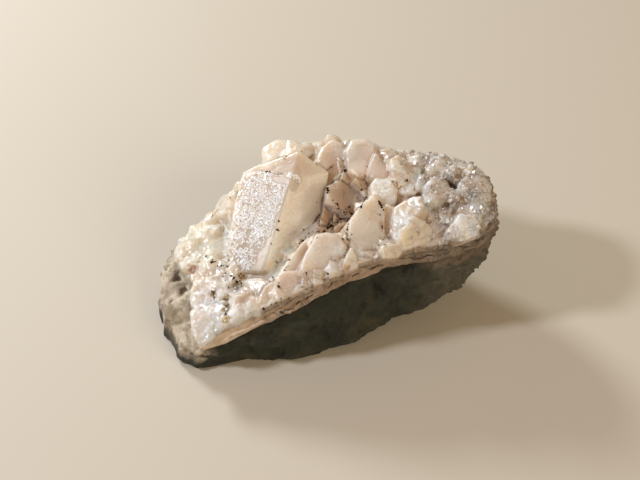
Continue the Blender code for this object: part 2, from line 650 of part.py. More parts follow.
def plated_crystal(middle, lean, corners):
    """One crystal with a broad flat face on top, a narrow bevel round it and sides that widen."""
    centre = Vector(middle)
    normal, steps = plate_corners(lean, corners)
    points = []
    for out in steps:
        away = out.normalized()
        rim = centre + out - normal * PLATE_BEVEL_DROP
        share = crust_share(rim.x, rim.y)
        depth = max(0.0, rim.z - crust_floor(rim.x, rim.y, min(1.0, share)))
        foot = (rim + away * PLATE_WIDEN * depth).xy
        share = crust_share(foot.x, foot.y)
        if share > PLATE_EDGE_SHARE:
            foot = CENTRE.lerp(foot, PLATE_EDGE_SHARE / share)
        z = crust_floor(foot.x, foot.y, min(1.0, share)) - SLAB_BELOW
        points += [centre + out - away * PLATE_BEVEL, rim, Vector((foot.x, foot.y, z))]
    return hull(points)


def large_crystal():
    """The large blunt crystal, whose glittering and smooth faces meet along a sharp ridge."""
    planes = []
    for normal, point in LARGE_CRYSTAL:
        direction = Vector(normal).normalized()
        planes.append((direction, direction.dot(Vector(point))))
    return flat_faced(planes)


def at_large_crystal(spot, share, margin):
    """Whether a small crystal here would stand in the large one or against its foot."""
    foot = Vector((spot.x, spot.y, crust_floor(spot.x, spot.y, share) + SLAB_THICK))
    outside = [Vector(normal).dot(foot - Vector(point)) for normal, point in LARGE_CRYSTAL]
    return max(outside) < margin


def small_places(rng):
    """Places of the small crystals: a jittered grid, clear of the large ones."""
    taken = [(Vector(entry[0][:2]), SMALL_KEEP_OFF * entry[2]) for entry in BLOCKY]
    left, right, front, back = SMALL_FIELD
    places = []
    x = left
    while x < right:
        spacing = SMALL_SPACING_RIGHT if x > SUGARY_FROM_X else SMALL_SPACING_LEFT
        y = front
        while y < back:
            jitter = SMALL_JITTER * spacing
            spot = Vector((x + rng.uniform(-jitter, jitter), y + rng.uniform(-jitter, jitter)))
            share = crust_share(spot.x, spot.y)
            clear = all((spot - place).length > reach for place, reach in taken)
            clear = clear and not on_plate(spot, PLATE_KEEP_OFF)
            clear = clear and not at_large_crystal(spot, share, SMALL_KEEP_OFF_LARGE)
            if clear and share < SMALL_EDGE_SHARE:
                places.append((spot, share, spacing))
            y += spacing
        x += spacing
    return places


def fill_places(rng, others):
    """Places left between the broad crystals, clear of the other small ones."""
    left, right, front, back = SMALL_FIELD
    places = []
    x = left
    while x < FILL_FROM_X:
        y = front
        while y < back:
            jitter = SMALL_JITTER * FILL_SPACING
            spot = Vector((x + rng.uniform(-jitter, jitter), y + rng.uniform(-jitter, jitter)))
            share = crust_share(spot.x, spot.y)
            clear = all((spot - place).length > FILL_KEEP_OFF_SMALL for place in others)
            clear = clear and share < SMALL_EDGE_SHARE and not on_plate(spot, FILL_KEEP_OFF)
            if clear and not at_large_crystal(spot, share, FILL_KEEP_OFF_LARGE):
                places.append((spot, share))
            y += FILL_SPACING
        x += FILL_SPACING
    return places


def rim_places(rng):
    """Places along the crust's edge, with the way out from each."""
    edge = around(0)
    places = []
    carried = 0.0
    for j, point in enumerate(edge):
        carried += (point - edge[j - 1]).length
        if carried < RIM_SPACING:
            continue
        carried -= RIM_SPACING
        spot = CENTRE.lerp(point, rng.uniform(*RIM_SHARE))
        if not on_plate(spot, PLATE_KEEP_OFF_RIM):
            places.append((spot, outward(edge, j)))
    return places


def make_crystals():
    """All the bodies that grow together into the crust."""
    rng = random.Random(SEED)
    bodies = [large_crystal()]
    for top, lean, radius, turn, dome in BLOCKY:
        bodies.append(crystal(top, lean, radius, turn, dome, rng))
    for middle, lean, corners in PLATED:
        bodies.append(plated_crystal(middle, lean, corners))
    small = small_places(rng)
    others = [spot for spot, share, spacing in small]
    others += [Vector(entry[0][:2]) for entry in BLOCKY]
    for spot, share in fill_places(rng, others):
        stand_out = rng.uniform(*FILL_STAND_OUT) - hollow(spot.x, spot.y)
        height = crust_floor(spot.x, spot.y, share) + SLAB_THICK + stand_out
        rims = beside_plates(spot)
        free = not at_large_crystal(spot, share, BESIDE_KEEP_OFF_LARGE) and spot.y < BESIDE_BACK_Y
        if rims is not None and free:
            height = max(height, rims - rng.uniform(*BESIDE_SINK))
        top = (spot.x, spot.y, height)
        lean = [rng.uniform(-SMALL_LEAN, SMALL_LEAN) for _ in range(2)]
        radius = rng.uniform(*FILL_RADIUS)
        bodies.append(crystal(top, lean, radius, rng.uniform(0.0, 60.0), "nailhead", rng))
    for spot, share, spacing in small:
        radius = spacing * rng.uniform(*SMALL_RADIUS)
        stand_out = rng.uniform(*SMALL_STAND_OUT) - hollow(spot.x, spot.y)
        top = (spot.x, spot.y, crust_floor(spot.x, spot.y, share) + SLAB_THICK + stand_out)
        away = (spot - CENTRE).normalized() * SMALL_LEAN_OUT * share ** 2
        lean = [out + rng.uniform(-SMALL_LEAN, SMALL_LEAN) for out in away]
        dome = rng.choice(("nailhead", "nailhead", "rhomb"))
        bodies.append(crystal(top, lean, radius, rng.uniform(0.0, 60.0), dome, rng))
    for spot, away in rim_places(rng):
        base = crust_floor(spot.x, spot.y, RIM_FLOOR_SHARE) + SLAB_THICK
        top = (spot.x, spot.y, base + rng.uniform(*RIM_STAND_OUT))
        lean = away.xy * rng.uniform(*RIM_LEAN)
        radius = rng.uniform(*RIM_RADIUS)
        bodies.append(crystal(top, lean, radius, rng.uniform(0.0, 60.0), "nailhead", rng))
    return bodies


def mesh_object(name, bm, collection):
    """Put a bmesh, still in millimetres, into a named object of a collection."""
    bmesh.ops.recalc_face_normals(bm, faces=bm.faces)
    mesh = bpy.data.meshes.new(name)
    bm.to_mesh(mesh)
    bm.free()
    thing = bpy.data.objects.new(name, mesh)
    collection.objects.link(thing)
    return thing


def boolean(target, operation, other=None, group=None):
    """Apply one exact Boolean to an object, with another object or a collection."""
    step = target.modifiers.new(operation.lower(), "BOOLEAN")
    step.operation = operation
    step.solver = "EXACT"
    if group:
        step.operand_type = "COLLECTION"
        step.collection = group
        step.use_self = True
    else:
        step.object = other
    bpy.context.view_layer.update()
    depsgraph = bpy.context.evaluated_depsgraph_get()
    result = bpy.data.meshes.new_from_object(target.evaluated_get(depsgraph))
    target.modifiers.clear()
    target.data = result


def make_crust(collection):
    """Join the slab and the crystals, then trim them to the contact band."""
    crust = mesh_object("calcite_crystals", make_slab(), collection)
    parts = bpy.data.collections.new("crystal bodies")
    collection.children.link(parts)
    for number, bm in enumerate(make_crystals()):
        mesh_object("crystal_%03d" % number, bm, parts)
    boolean(crust, "UNION", group=parts)
    undercut = mesh_object("undercut", make_undercut(), collection)
    boolean(crust, "DIFFERENCE", other=undercut)
    for helper in list(parts.objects) + [undercut]:
        bpy.data.objects.remove(helper)
    bpy.data.collections.remove(parts)
    return crust


def finish_material(name):
    """The plain material of one piece."""
    colour, roughness = FINISHES[name]
    material = bpy.data.materials.new(name)
    material.use_nodes = True
    shader = material.node_tree.nodes["Principled BSDF"]
    shader.inputs["Base Color"].default_value = (*colour, 1.0)
    shader.inputs["Roughness"].default_value = roughness
    shader.inputs["Metallic"].default_value = 0.0
    return material


def settle(pieces):
    """Move the pieces so that the origin is the middle of the base, and turn them to metres."""
    points = [vertex.co for piece in pieces for vertex in piece.data.vertices]
    middle_x = (min(p.x for p in points) + max(p.x for p in points)) / 2.0
    middle_y = (min(p.y for p in points) + max(p.y for p in points)) / 2.0
    move = Matrix.Translation((-middle_x, -middle_y, 0.0))
    for piece in pieces:
        piece.data.transform(Matrix.Scale(MM, 4) @ move)
        piece.data.materials.clear()
        piece.data.materials.append(finish_material(piece.name))


def main():
    """Start from an empty scene and make the three pieces."""
    for thing in list(bpy.data.objects):
        bpy.data.objects.remove(thing)
    collection = bpy.context.scene.collection
    rock = mesh_object("host_rock", make_host_rock(), collection)
    band = mesh_object("contact_band", make_contact_band(), collection)
    crust = make_crust(collection)
    settle([rock, band, crust])


main()
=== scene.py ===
"""Calcite specimen: how its host rock, its layered band and its crust of crystals look."""
import math
import random

import bmesh
import bpy
import numpy as np
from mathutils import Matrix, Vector, noise
from mathutils.bvhtree import BVHTree
from mathutils.kdtree import KDTree


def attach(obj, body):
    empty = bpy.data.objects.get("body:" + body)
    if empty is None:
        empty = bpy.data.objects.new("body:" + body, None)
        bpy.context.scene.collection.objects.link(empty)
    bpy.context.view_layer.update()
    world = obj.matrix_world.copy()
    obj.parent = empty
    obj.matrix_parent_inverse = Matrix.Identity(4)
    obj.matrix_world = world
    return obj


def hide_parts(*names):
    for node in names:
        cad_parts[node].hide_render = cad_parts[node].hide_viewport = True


bl_info = {
    "name": "Calcite specimen",
    "version": (1, 0, 0),
    "blender": (4, 5, 0),
    "location": "3D View > Sidebar > Calcite",
    "description": "Dresses the solids of a calcite specimen with their real surfaces",
    "category": "Add Mesh",
}

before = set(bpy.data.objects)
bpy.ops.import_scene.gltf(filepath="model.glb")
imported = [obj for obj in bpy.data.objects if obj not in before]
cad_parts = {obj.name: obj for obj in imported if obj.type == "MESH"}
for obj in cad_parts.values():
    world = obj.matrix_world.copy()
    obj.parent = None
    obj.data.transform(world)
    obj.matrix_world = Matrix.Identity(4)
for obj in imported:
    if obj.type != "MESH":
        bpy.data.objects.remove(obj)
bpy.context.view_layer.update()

MM = 0.001

# Distance in metres within which corners of a solid count as one
WELD = 0.000002

# Where the middle of the base lies in the frame that the places below were drawn in, in millimetres
SHIFT = Vector((-0.029, -1.717, 0.0))

# Camera: turn and rise in degrees, distance in metres from its aim, height of the aim and lens in
# millimetres, and the photograph's size in pixels
CAMERA_TURN = -15.0
CAMERA_RISE = 50.0
CAMERA_DISTANCE = 0.178
AIM_HEIGHT = 14.0
LENS = 50.0
SENSOR_WIDTH = 36.0
PHOTO_SIZE = (640, 480)

# Height of the rock's top face along its front edge, as (x, z)
BED_PROFILE = (
    (-35.0, 2.6), (-27.0, 5.3), (-20.0, 8.8), (-14.0, 11.6), (-7.0, 14.5),
    (-3.0, 16.0), (3.0, 17.5), (15.0, 19.4), (28.0, 21.2), (36.0, 22.4),
)

# Large crystal's glittering face: a point of it, its outward direction, and the pixels of the photograph
# at the lower end of its ridge and further up that ridge
FACE_POINT = SHIFT + Vector((-4.2, 5.2, 28.0))
FACE_DIRECTION = Vector((-0.488, -0.357, 0.797))
RIDGE_PIXELS = ((262.0, 273.0), (292.0, 177.0))

# Outline of the relief on that face, in millimetres across and up from its ridge's lower end
RELIEF_OUTLINE = (
    (-10.2, 17.6), (-7.9, 18.6), (-5.8, 19.0), (-4.0, 19.0), (-2.2, 18.6), (-1.3, 17.7),
    (-0.2, 17.6), (-0.1, 16.7), (-0.2, 15.5), (-0.1, 14.0), (-0.2, 12.5), (-0.5, 11.4),
    (-0.9, 11.0), (-0.2, 10.2), (-0.2, 9.2), (-0.7, 8.3), (-0.4, 7.2), (-1.2, 6.5),
    (-0.9, 5.4), (-1.6, 4.2), (-2.0, 3.0), (-1.7, 1.8), (-2.4, 0.2), (-3.0, -0.8),
    (-3.9, -0.9), (-5.2, -1.0), (-6.4, -0.9), (-7.4, -0.4), (-8.2, 1.0), (-9.2, 2.0),
    (-9.9, 3.5), (-9.4, 4.4), (-10.3, 5.4), (-9.6, 6.6), (-8.9, 7.5), (-10.2, 8.8), (-9.7, 9.9),
    (-10.6, 11.2), (-10.0, 12.3), (-10.9, 13.6), (-10.9, 15.4),
)

# Mean width of that face's flakes, in millimetres
FLAKE_WIDTH = 0.46

# Further relief across the face's top ridge, a dull notch in it, and a crack above it
RELIEF_PATCH = (
    (-2.1, 19.5), (-0.8, 20.1), (0.8, 20.0), (2.3, 19.5), (2.2, 18.6), (1.4, 18.2), (0.2, 18.6),
    (-1.0, 18.8),
)
RELIEF_NOTCH = ((-4.2, 18.4), (-1.4, 18.7), (-1.2, 17.5), (-3.4, 17.4))
CRACK = ((-7.2, 18.5), (-6.0, 18.9), (-4.9, 19.1), (-3.5, 19.0), (-2.2, 19.3))

# Ends of the large crystal's smooth foot, and of the ridge beside it that catches the light and carries a
# painted highlight
SMOOTH_FOOT = (Vector((-2.8, -3.8, 20.3)), Vector((-11.5, -9.0, 16.8)))
BRIGHT_RIDGE = (Vector((2.8, 3.6, 25.7)), Vector((0.0, -0.9, 21.5)))

# Colour zones of the crust: centre in millimetres, reach, colour; besides the stone's own tones, some zones
# are painted light and some painted shade, as marked
ZONES = (
    ((-3.7, 7.0, 28.5), 4.5, (0.490, 0.400, 0.305)),
    ((-6.0, 0.0, 23.0), 9.0, (0.810, 0.725, 0.635)),
    # Painted light: the large crystal's lower smooth face is paler than its stone, on a face that lies in
    # shade
    ((-9.5, -5.7, 19.0), 4.6, (0.960, 0.890, 0.790)),
    # Brown of the hollow, its own tone darkened further as painted shade
    ((4.9, 0.0, 24.0), 3.6, (0.360, 0.240, 0.145)),
    ((2.3, -4.0, 22.0), 3.8, (0.520, 0.310, 0.165)),
    ((4.5, 6.0, 25.5), 3.0, (0.500, 0.370, 0.260)),
    ((9.1, 1.0, 25.5), 2.2, (0.420, 0.300, 0.200)),
    # Painted shade: darker stone on the plate below the ridge, whose upturned top catches more light
    ((-5.4, -8.6, 20.2), 2.8, (0.470, 0.335, 0.235)),
    ((6.5, -9.8, 24.8), 4.0, (0.690, 0.645, 0.575)),
    ((-2.4, -12.1, 22.3), 4.0, (0.770, 0.720, 0.680)),
    ((-8.6, -13.5, 19.2), 3.0, (0.650, 0.535, 0.475)),
    ((-23.0, -13.0, 12.0), 7.0, (0.860, 0.820, 0.800)),
    ((-17.8, -12.3, 15.0), 2.2, (0.400, 0.295, 0.185)),
    ((-14.3, -12.0, 16.3), 2.2, (0.430, 0.335, 0.260)),
    ((-22.0, 4.0, 14.0), 8.0, (0.820, 0.725, 0.595)),
    ((-4.0, 14.0, 25.0), 7.0, (0.740, 0.660, 0.540)),
    ((9.0, 8.5, 27.5), 4.0, (0.500, 0.460, 0.405)),
    ((14.0, 5.0, 27.0), 3.5, (0.540, 0.440, 0.370)),
    ((12.6, 2.1, 27.4), 2.0, (0.800, 0.720, 0.650)),
    ((18.2, -3.6, 26.4), 2.6, (1.000, 0.930, 0.880)),
    ((15.4, -2.0, 26.4), 2.0, (0.860, 0.780, 0.720)),
    ((19.4, -7.9, 25.7), 2.0, (1.000, 0.930, 0.880)),
    ((12.5, -5.0, 25.2), 1.5, (0.820, 0.760, 0.700)),
    ((14.2, -14.2, 25.0), 2.8, (0.650, 0.530, 0.410)),
    ((24.0, -15.8, 26.0), 3.4, (0.970, 0.880, 0.840)),
    ((29.3, -11.4, 26.6), 2.2, (1.000, 0.950, 0.930)),
    ((28.0, -7.3, 28.5), 3.5, (0.610, 0.550, 0.500)),
    ((23.0, -9.6, 26.5), 2.1, (0.370, 0.290, 0.225)),
    ((25.5, -4.3, 27.1), 2.0, (0.400, 0.330, 0.260)),
    ((20.7, -5.8, 27.9), 2.6, (0.600, 0.540, 0.490)),
    ((25.0, 1.5, 27.8), 5.0, (0.640, 0.575, 0.530)),
    ((17.0, 8.0, 27.0), 4.0, (0.640, 0.550, 0.480)),
    ((31.4, -12.8, 25.8), 1.8, (0.140, 0.095, 0.060)),
)
PLAIN_CALCITE = (0.640, 0.540, 0.440)
# Painted tint: faces that look up are made a little warmer, to offset the colour the cool lamps give them
PAINTED_TOP_WARMTH = (0.00, 0.045, 0.050)

# Stains on the crust, and some marks of painted light and shade: centre, reach, colour
STAINS = (
    ((-23.1, -8.6, 13.0), 1.2, (0.34, 0.25, 0.12)),
    ((-21.0, -10.8, 13.2), 1.3, (0.38, 0.29, 0.14)),
    ((-21.2, -12.8, 12.8), 1.4, (0.34, 0.25, 0.12)),
    ((-21.9, -15.2, 13.1), 1.2, (0.42, 0.33, 0.17)),
    ((-17.2, -7.8, 15.2), 1.3, (0.44, 0.33, 0.16)),
    ((-18.6, -8.8, 13.9), 1.2, (0.38, 0.30, 0.19)),
    ((-25.8, -1.0, 12.1), 1.6, (0.40, 0.27, 0.19)),
    # Painted light: pale, warm stone along the large crystal's smooth foot, to offset the shade of its seam
    ((-5.8, -6.2, 19.8), 2.2, (0.86, 0.64, 0.46)),
    ((-8.2, -7.8, 18.7), 2.3, (0.88, 0.65, 0.47)),
    ((-10.8, -9.0, 16.8), 2.4, (0.96, 0.73, 0.56)),
    # Brown of the hollow: stains darkened further as painted shade
    ((1.0, -4.4, 21.2), 3.0, (0.52, 0.34, 0.205)),
    # Painted shade on the top bevel of a plate that faces the lamp
    ((6.1, -5.0, 26.1), 1.3, (0.45, 0.36, 0.27)),
    # Brown of the hollow: stains darkened further as painted shade
    ((2.4, -6.6, 21.4), 1.8, (0.42, 0.28, 0.17)),
    ((0.7, -2.4, 21.9), 1.9, (0.36, 0.23, 0.13)),
    ((5.9, -3.4, 22.6), 2.0, (0.38, 0.25, 0.15)),
    ((7.2, 2.6, 25.0), 1.8, (0.46, 0.33, 0.22)),
    ((3.7, 4.7, 25.3), 1.6, (0.50, 0.37, 0.26)),
    ((10.5, -9.9, 24.7), 1.5, (0.54, 0.40, 0.29)),
    ((23.4, -9.3, 25.6), 1.5, (0.40, 0.31, 0.24)),
    ((1.0, -15.5, 21.6), 1.2, (0.42, 0.29, 0.19)),
)

# Finely frosted places of the crust, whitened with painted glints: centre, reach
FROST_AND_GLINTS = (
    ((12.0, -2.6, 26.5), 2.6), ((13.4, -10.6, 25.9), 2.8), ((11.9, -12.9, 24.3), 1.5),
    ((16.2, -8.8, 28.1), 1.8), ((19.3, -1.2, 27.0), 1.5), ((15.9, 0.3, 28.6), 1.8),
    ((0.5, -11.7, 22.8), 1.6), ((4.4, -13.6, 22.1), 1.2), ((-15.8, -11.2, 16.2), 1.1),
    ((8.9, -5.6, 25.9), 0.9), ((22.8, -13.9, 26.6), 1.6), ((19.6, -4.6, 28.2), 1.3),
    ((26.6, -11.6, 27.2), 1.3),
)

# Brown pits in the weathered end of the rock: centre and reach
PITS = (
    ((-28.9, 1.6, 6.4), 2.3), ((-28.4, -1.4, 6.2), 1.9), ((-30.8, 4.6, 6.0), 1.0),
    ((-31.6, -3.6, 4.6), 0.8),
)

# Shade that surrounds the two large pits: centre, reach, strength
PIT_SHADE = ((-27.6, 0.4, 6.6), 2.6, 0.55)

# Centre and reach of the brown hollow, where seam dirt and painted shade spread wider, of its grains, and
# of a smooth corner of the sugary end
HOLLOW_DIRT_AND_SHADE = ((2.0, -2.0, 23.0), 8.0)
HOLLOW_GRAINS = ((3.5, -3.5, 22.0), 7.5)
SMOOTH_CORNER = ((23.8, -15.6, 26.0), 2.8)

# Nests of small golden-brown grains: centre, reach, how many
NESTS = (
    ((-23.1, -8.4, 13.0), 0.50, 18), ((-23.1, -9.6, 12.7), 0.45, 14), ((-21.0, -10.8, 13.2), 0.50, 16),
    ((-21.1, -12.1, 12.7), 0.55, 20), ((-21.6, -13.8, 13.0), 0.55, 20), ((-21.9, -15.2, 13.2), 0.45, 10),
    ((-17.2, -7.8, 15.2), 0.70, 16), ((-18.6, -8.8, 13.9), 0.55, 10),
)

# Larger dark grains in the seams, read off: column and row of the photograph, and width in pixels
GRAIN_PIXELS = (
    (286.2, 156.3, 2.2), (279.5, 157.9, 1.4), (283.4, 157.7, 1.2), (316.2, 163.2, 1.6),
    (317.0, 165.0, 1.6), (301.6, 151.5, 1.2), (327.9, 188.0, 2.4), (327.8, 190.2, 2.4),
    (327.5, 192.6, 2.2), (333.1, 200.5, 1.3), (337.2, 204.0, 1.8), (338.2, 205.8, 1.6),
    (316.4, 202.2, 1.2), (322.1, 219.4, 1.6), (328.0, 228.0, 2.0), (330.0, 226.9, 2.4),
    (331.8, 225.8, 2.6), (333.0, 227.4, 2.0), (323.6, 232.3, 2.4), (325.2, 231.7, 1.5),
    (317.3, 231.4, 1.6), (316.9, 237.6, 1.2), (277.6, 230.0, 2.4), (279.0, 221.3, 1.5),
    (240.8, 221.3, 1.3), (308.7, 233.3, 1.8), (305.4, 237.2, 1.3), (303.0, 240.5, 1.8),
    (301.2, 241.2, 1.3), (299.6, 243.3, 1.8), (271.2, 243.5, 1.7), (289.6, 259.6, 2.0),
    (276.7, 262.5, 2.0), (278.0, 262.5, 1.4), (281.5, 259.6, 1.0), (286.2, 267.3, 1.6),
    (284.8, 270.1, 1.4), (272.8, 277.5, 2.2), (274.2, 279.4, 2.2), (278.6, 286.4, 2.8),
    (306.2, 273.2, 1.8), (306.9, 275.0, 1.6), (303.5, 283.5, 1.5), (327.9, 273.5, 1.8),
    (303.5, 229.5, 1.1), (343.1, 161.0, 2.2), (338.0, 159.5, 1.2), (345.3, 170.5, 2.2),
    (344.8, 172.0, 1.5), (331.4, 167.6, 1.4), (367.0, 167.2, 1.3), (361.5, 189.6, 2.2),
    (366.2, 197.3, 2.2), (364.6, 199.6, 1.4), (363.4, 202.0, 1.4), (362.4, 204.3, 1.4),
    (361.5, 206.9, 2.6), (349.3, 207.2, 1.8), (335.8, 203.6, 1.4), (337.2, 205.2, 1.8),
    (339.1, 208.0, 1.8), (341.4, 210.2, 1.6), (344.2, 212.0, 1.8), (346.8, 212.2, 1.6),
    (349.3, 211.6, 2.0), (351.2, 213.8, 3.0), (352.6, 213.9, 2.0), (341.6, 218.6, 2.0),
    (341.3, 222.3, 1.4), (337.6, 222.6, 1.2), (348.2, 218.6, 1.6), (348.2, 221.0, 2.0),
    (347.8, 224.1, 1.8), (347.3, 227.0, 1.4), (347.1, 229.6, 1.8), (347.1, 234.0, 2.8),
    (347.8, 239.6, 2.2), (349.4, 240.0, 1.8), (342.4, 239.1, 2.0), (345.3, 253.1, 2.2),
    (378.9, 201.6, 1.6), (379.9, 203.4, 1.8), (381.0, 205.4, 2.0), (382.1, 207.6, 2.0),
    (383.1, 209.8, 2.0), (379.8, 214.9, 2.0), (383.1, 228.5, 2.0), (382.0, 226.8, 1.3),
    (391.5, 206.1, 1.6), (383.1, 239.1, 1.8), (379.1, 245.4, 1.8), (384.6, 245.0, 1.8),
    (386.2, 244.6, 1.3), (405.5, 181.5, 2.2), (407.2, 180.3, 2.2), (401.4, 186.2, 1.4),
    (392.6, 181.5, 1.4), (265.4, 171.3, 1.4), (267.4, 171.4, 1.9), (269.6, 171.7, 1.7),
    (262.6, 171.8, 1.2), (275.6, 173.6, 1.2), (278.6, 174.0, 1.6), (280.6, 173.8, 1.2),
    (206.0, 256.5, 2.4), (207.8, 258.6, 1.6), (211.6, 262.3, 2.6), (213.4, 261.7, 2.0),
    (215.2, 261.2, 1.4), (217.4, 265.6, 1.6), (219.4, 266.6, 1.8), (221.2, 265.8, 2.0),
    (223.6, 265.7, 1.6), (226.0, 266.0, 1.6), (228.0, 266.6, 1.6), (229.2, 260.4, 1.8),
    (230.7, 275.6, 2.4), (233.5, 278.0, 2.6), (236.1, 281.1, 2.8), (237.2, 281.7, 1.8),
    (239.6, 281.0, 2.0), (241.2, 282.8, 1.8), (232.1, 281.9, 1.4), (241.9, 286.6, 1.3),
    (223.2, 276.5, 1.3), (225.8, 273.0, 1.2), (219.6, 270.6, 1.2), (227.0, 283.4, 1.6),
    (228.4, 288.0, 1.6), (275.4, 303.2, 2.4), (271.2, 304.8, 1.6), (263.8, 308.9, 2.4),
    (289.0, 298.6, 2.0), (281.0, 299.0, 1.6),
)

# Seed of the noise vectors, which would differ from run to run without one
NOISE_SEED = 1
noise.seed_set(NOISE_SEED)

# Seeds of the grains' places, of their turns and sizes, and of the finest crystals
PLACE_SEED = 5
GRAIN_SEED = 3
DRUSE_SEED = 7

# What each corner of the crust carries for its material
CRUST_VALUES = ("sugar", "stone", "rim", "cleft", "facet", "relief", "foot", "frost_and_glint", "dull")

# Nodes that both geometry trees have, and the links between them
SHARED_NODES = {
    "in": "NodeGroupInput", "out": "NodeGroupOutput", "share": "GeometryNodeInputNamedAttribute",
    "turn": "FunctionNodeRandomValue", "grow": "FunctionNodeRandomValue",
    "instances": "GeometryNodeInstanceOnPoints", "real": "GeometryNodeRealizeInstances",
    "paint": "GeometryNodeSetMaterial",
}
SHARED_LINKS = (
    ("in", "Seed", "turn", "Seed"), ("in", "Seed", "grow", "Seed"),
    ("instances", "Instances", "real", "Geometry"), ("real", "Geometry", "paint", "Geometry"),
    ("in", "Material", "paint", "Material"), ("paint", "Geometry", "out", "Geometry"),
)

# Lights: name, direction, distance and width in metres, power in watts, colour
LIGHTS = (
    ("lamp", (-0.765, 0.135, 0.629), 0.62, 0.075, 2.26, (0.87, 0.91, 1.0)),
    ("window", (-0.331, 0.781, 0.530), 0.60, 0.14, 2.45, (0.90, 0.965, 0.985)),
    ("fill", (0.55, -0.65, 0.52), 0.60, 0.35, 1.16, (1.0, 0.92, 0.73)),
)
LIGHT_AIM = Vector((0.0, 0.0, 0.012))
ROOM_COLOUR = (1.0, 0.69, 0.41, 1.0)
ROOM_STRENGTH = 0.28

# Half the floor's width, in metres
FLOOR_HALF = 1.5

# How deep light goes into the crust and into its finest crystals, in metres
CRUST_DEPTH = 0.0060
DRUSE_DEPTH = 0.0012

# Steps in millimetres at which edges are sampled, and at which seams may carry a grain
EDGE_STEP = 0.12
SEAM_STEP = 0.30


def length(label, text, start, low=0.0001, high=0.003):
    """A property that holds a length in metres."""
    return bpy.props.FloatProperty(
        name=label, description=text, default=start, min=low, max=high, precision=5, unit="LENGTH")


def shade(label, text, start):
    """A property that holds a colour."""
    return bpy.props.FloatVectorProperty(
        name=label, description=text, default=start, subtype="COLOR", size=3, min=0.0, max=1.0)


class CalciteSizes(bpy.types.PropertyGroup):
    """Sizes that shape the specimen's surfaces."""

    rock_voxel: length("Rock detail", "Edge length of the rock's mesh", 0.00042, 0.0002, 0.002)
    band_voxel: length("Band detail", "Edge length of the contact band's mesh", 0.00026, high=0.002)
    crust_voxel: length("Crust detail", "Edge length of the crystals' mesh", 0.00023, high=0.002)
    relief_height: length(
        "Relief height", "Height of the growth relief on the glittering face", 0.00010, 0.0, 0.0005)
    druse_spacing: length(
        "Druse spacing", "Least distance between two of the finest crystals", 0.00052, 0.0002)
    druse_size: length("Druse size", "Edge length of the finest crystals", 0.00055)
    grain_size: length("Grain size", "Mean width of the dark grains in the seams", 0.00055, high=0.002)


class CalciteColours(bpy.types.PropertyGroup):
    """Colours of the specimen's stones and of the floor."""

    rock: shade("Host rock", "Dark green-grey ground of the host rock", (0.037, 0.043, 0.028))
    rock_brown: shade("Rock stain", "Brown patches in the host rock", (0.060, 0.055, 0.033))
    # Tan of the weathered end, shown on faces turned towards the lamp: weathered stone with painted light
    rock_pale: shade("Weathered rock", "Tan rock at the thin end", (0.660, 0.570, 0.430))
    rock_grey: shade(
        "Fractured rock", "Greyer, fractured rock at the overhanging end", (0.095, 0.088, 0.064))
    band: shade("Contact band", "Pink-beige ground of the layered band", (0.440, 0.310, 0.220))
    grain: shade("Grains", "Dark metallic grains in the seams", (0.070, 0.040, 0.016))
    floor: shade("Floor", "Plain pale surface under the specimen", (0.600, 0.545, 0.460))


def between(table, x):
    """Read a table of (x, value) pairs at x, along straight lines."""
    for (x0, v0), (x1, v1) in zip(table, table[1:]):
        if x <= x1:
            return v0 + (v1 - v0) * max(0.0, (x - x0) / (x1 - x0))
    return table[-1][1]


def bed(x, y):
    """Height of the rock's top face, in millimetres, at a place in the frame."""
    x, y = x - SHIFT.x, y - SHIFT.y
    return between(BED_PROFILE, x) + 0.10 * (y + 14.0) - 0.006 * max(0.0, y - 6.0) ** 2


def soft(value, low, high):
    """Smooth step from 0 at low to 1 at high."""
    share = min(1.0, max(0.0, (value - low) / (high - low)))
    return share * share * (3.0 - 2.0 * share)


def facet_lift(point, cell, tilt, seed):
    """Lift of a surface that is broken into flat, tilted chips of about one cell's width."""
    place = point / cell + Vector((seed, 1.7 * seed, 0.6 * seed))
    centre = noise.voronoi(place)[1][0]
    turn = noise.cell_vector(centre * 7.31) * 2.0 - Vector((1.0, 1.0, 1.0))
    return tilt * cell * turn.dot(place - centre)


def growth_flake(flat):
    """Lift of a flake of the glittering face, and how whole the face is there, from 0 to 1."""
    place = flat / FLAKE_WIDTH + 0.55 * noise.noise_vector(flat / 0.6)
    away, centres = noise.voronoi(place)[:2]
    turn = noise.cell_vector(centres[0] * 7.31) - Vector((0.5, 0.5, 0.5))
    slope = Vector((0.070 + 0.20 * turn.x, -0.020 + 0.20 * turn.y, 0.0))
    cover = 0.10 + 0.8 * noise.noise(flat / 2.2) + 0.60 * soft(flat.y, 4.0, 9.0)
    whole = soft(away[1] - away[0], 0.04, 0.16) * soft(cover - turn.z, -0.10, 0.10)
    return FLAKE_WIDTH * slope.dot(place - centres[0]), whole


def pit_share(point):
    """How deep in a brown pit a place of the rock in millimetres lies, from 0 to 1."""
    away = point + 1.3 * noise.noise_vector(point / 1.9) + 0.4 * noise.noise_vector(point / 0.6)
    return max(soft(1.0 - (away - Vector(centre)).length / reach, 0.0, 0.7) for centre, reach in PITS)


def nearness(point, centre, reach):
    """How near a place is to a centre, from 1 there to almost 0 at twice the reach."""
    return math.exp(-((point - Vector(centre)).length / reach) ** 2)


def camera_axes():
    """Unit vectors from the camera's aim back to it, to its right and up."""
    turn, rise = math.radians(CAMERA_TURN), math.radians(CAMERA_RISE)
    back = Vector((math.sin(turn) * math.cos(rise), -math.cos(turn) * math.cos(rise), math.sin(rise)))
    right = Vector((math.cos(turn), math.sin(turn), 0.0))
    return back, right, back.cross(right)


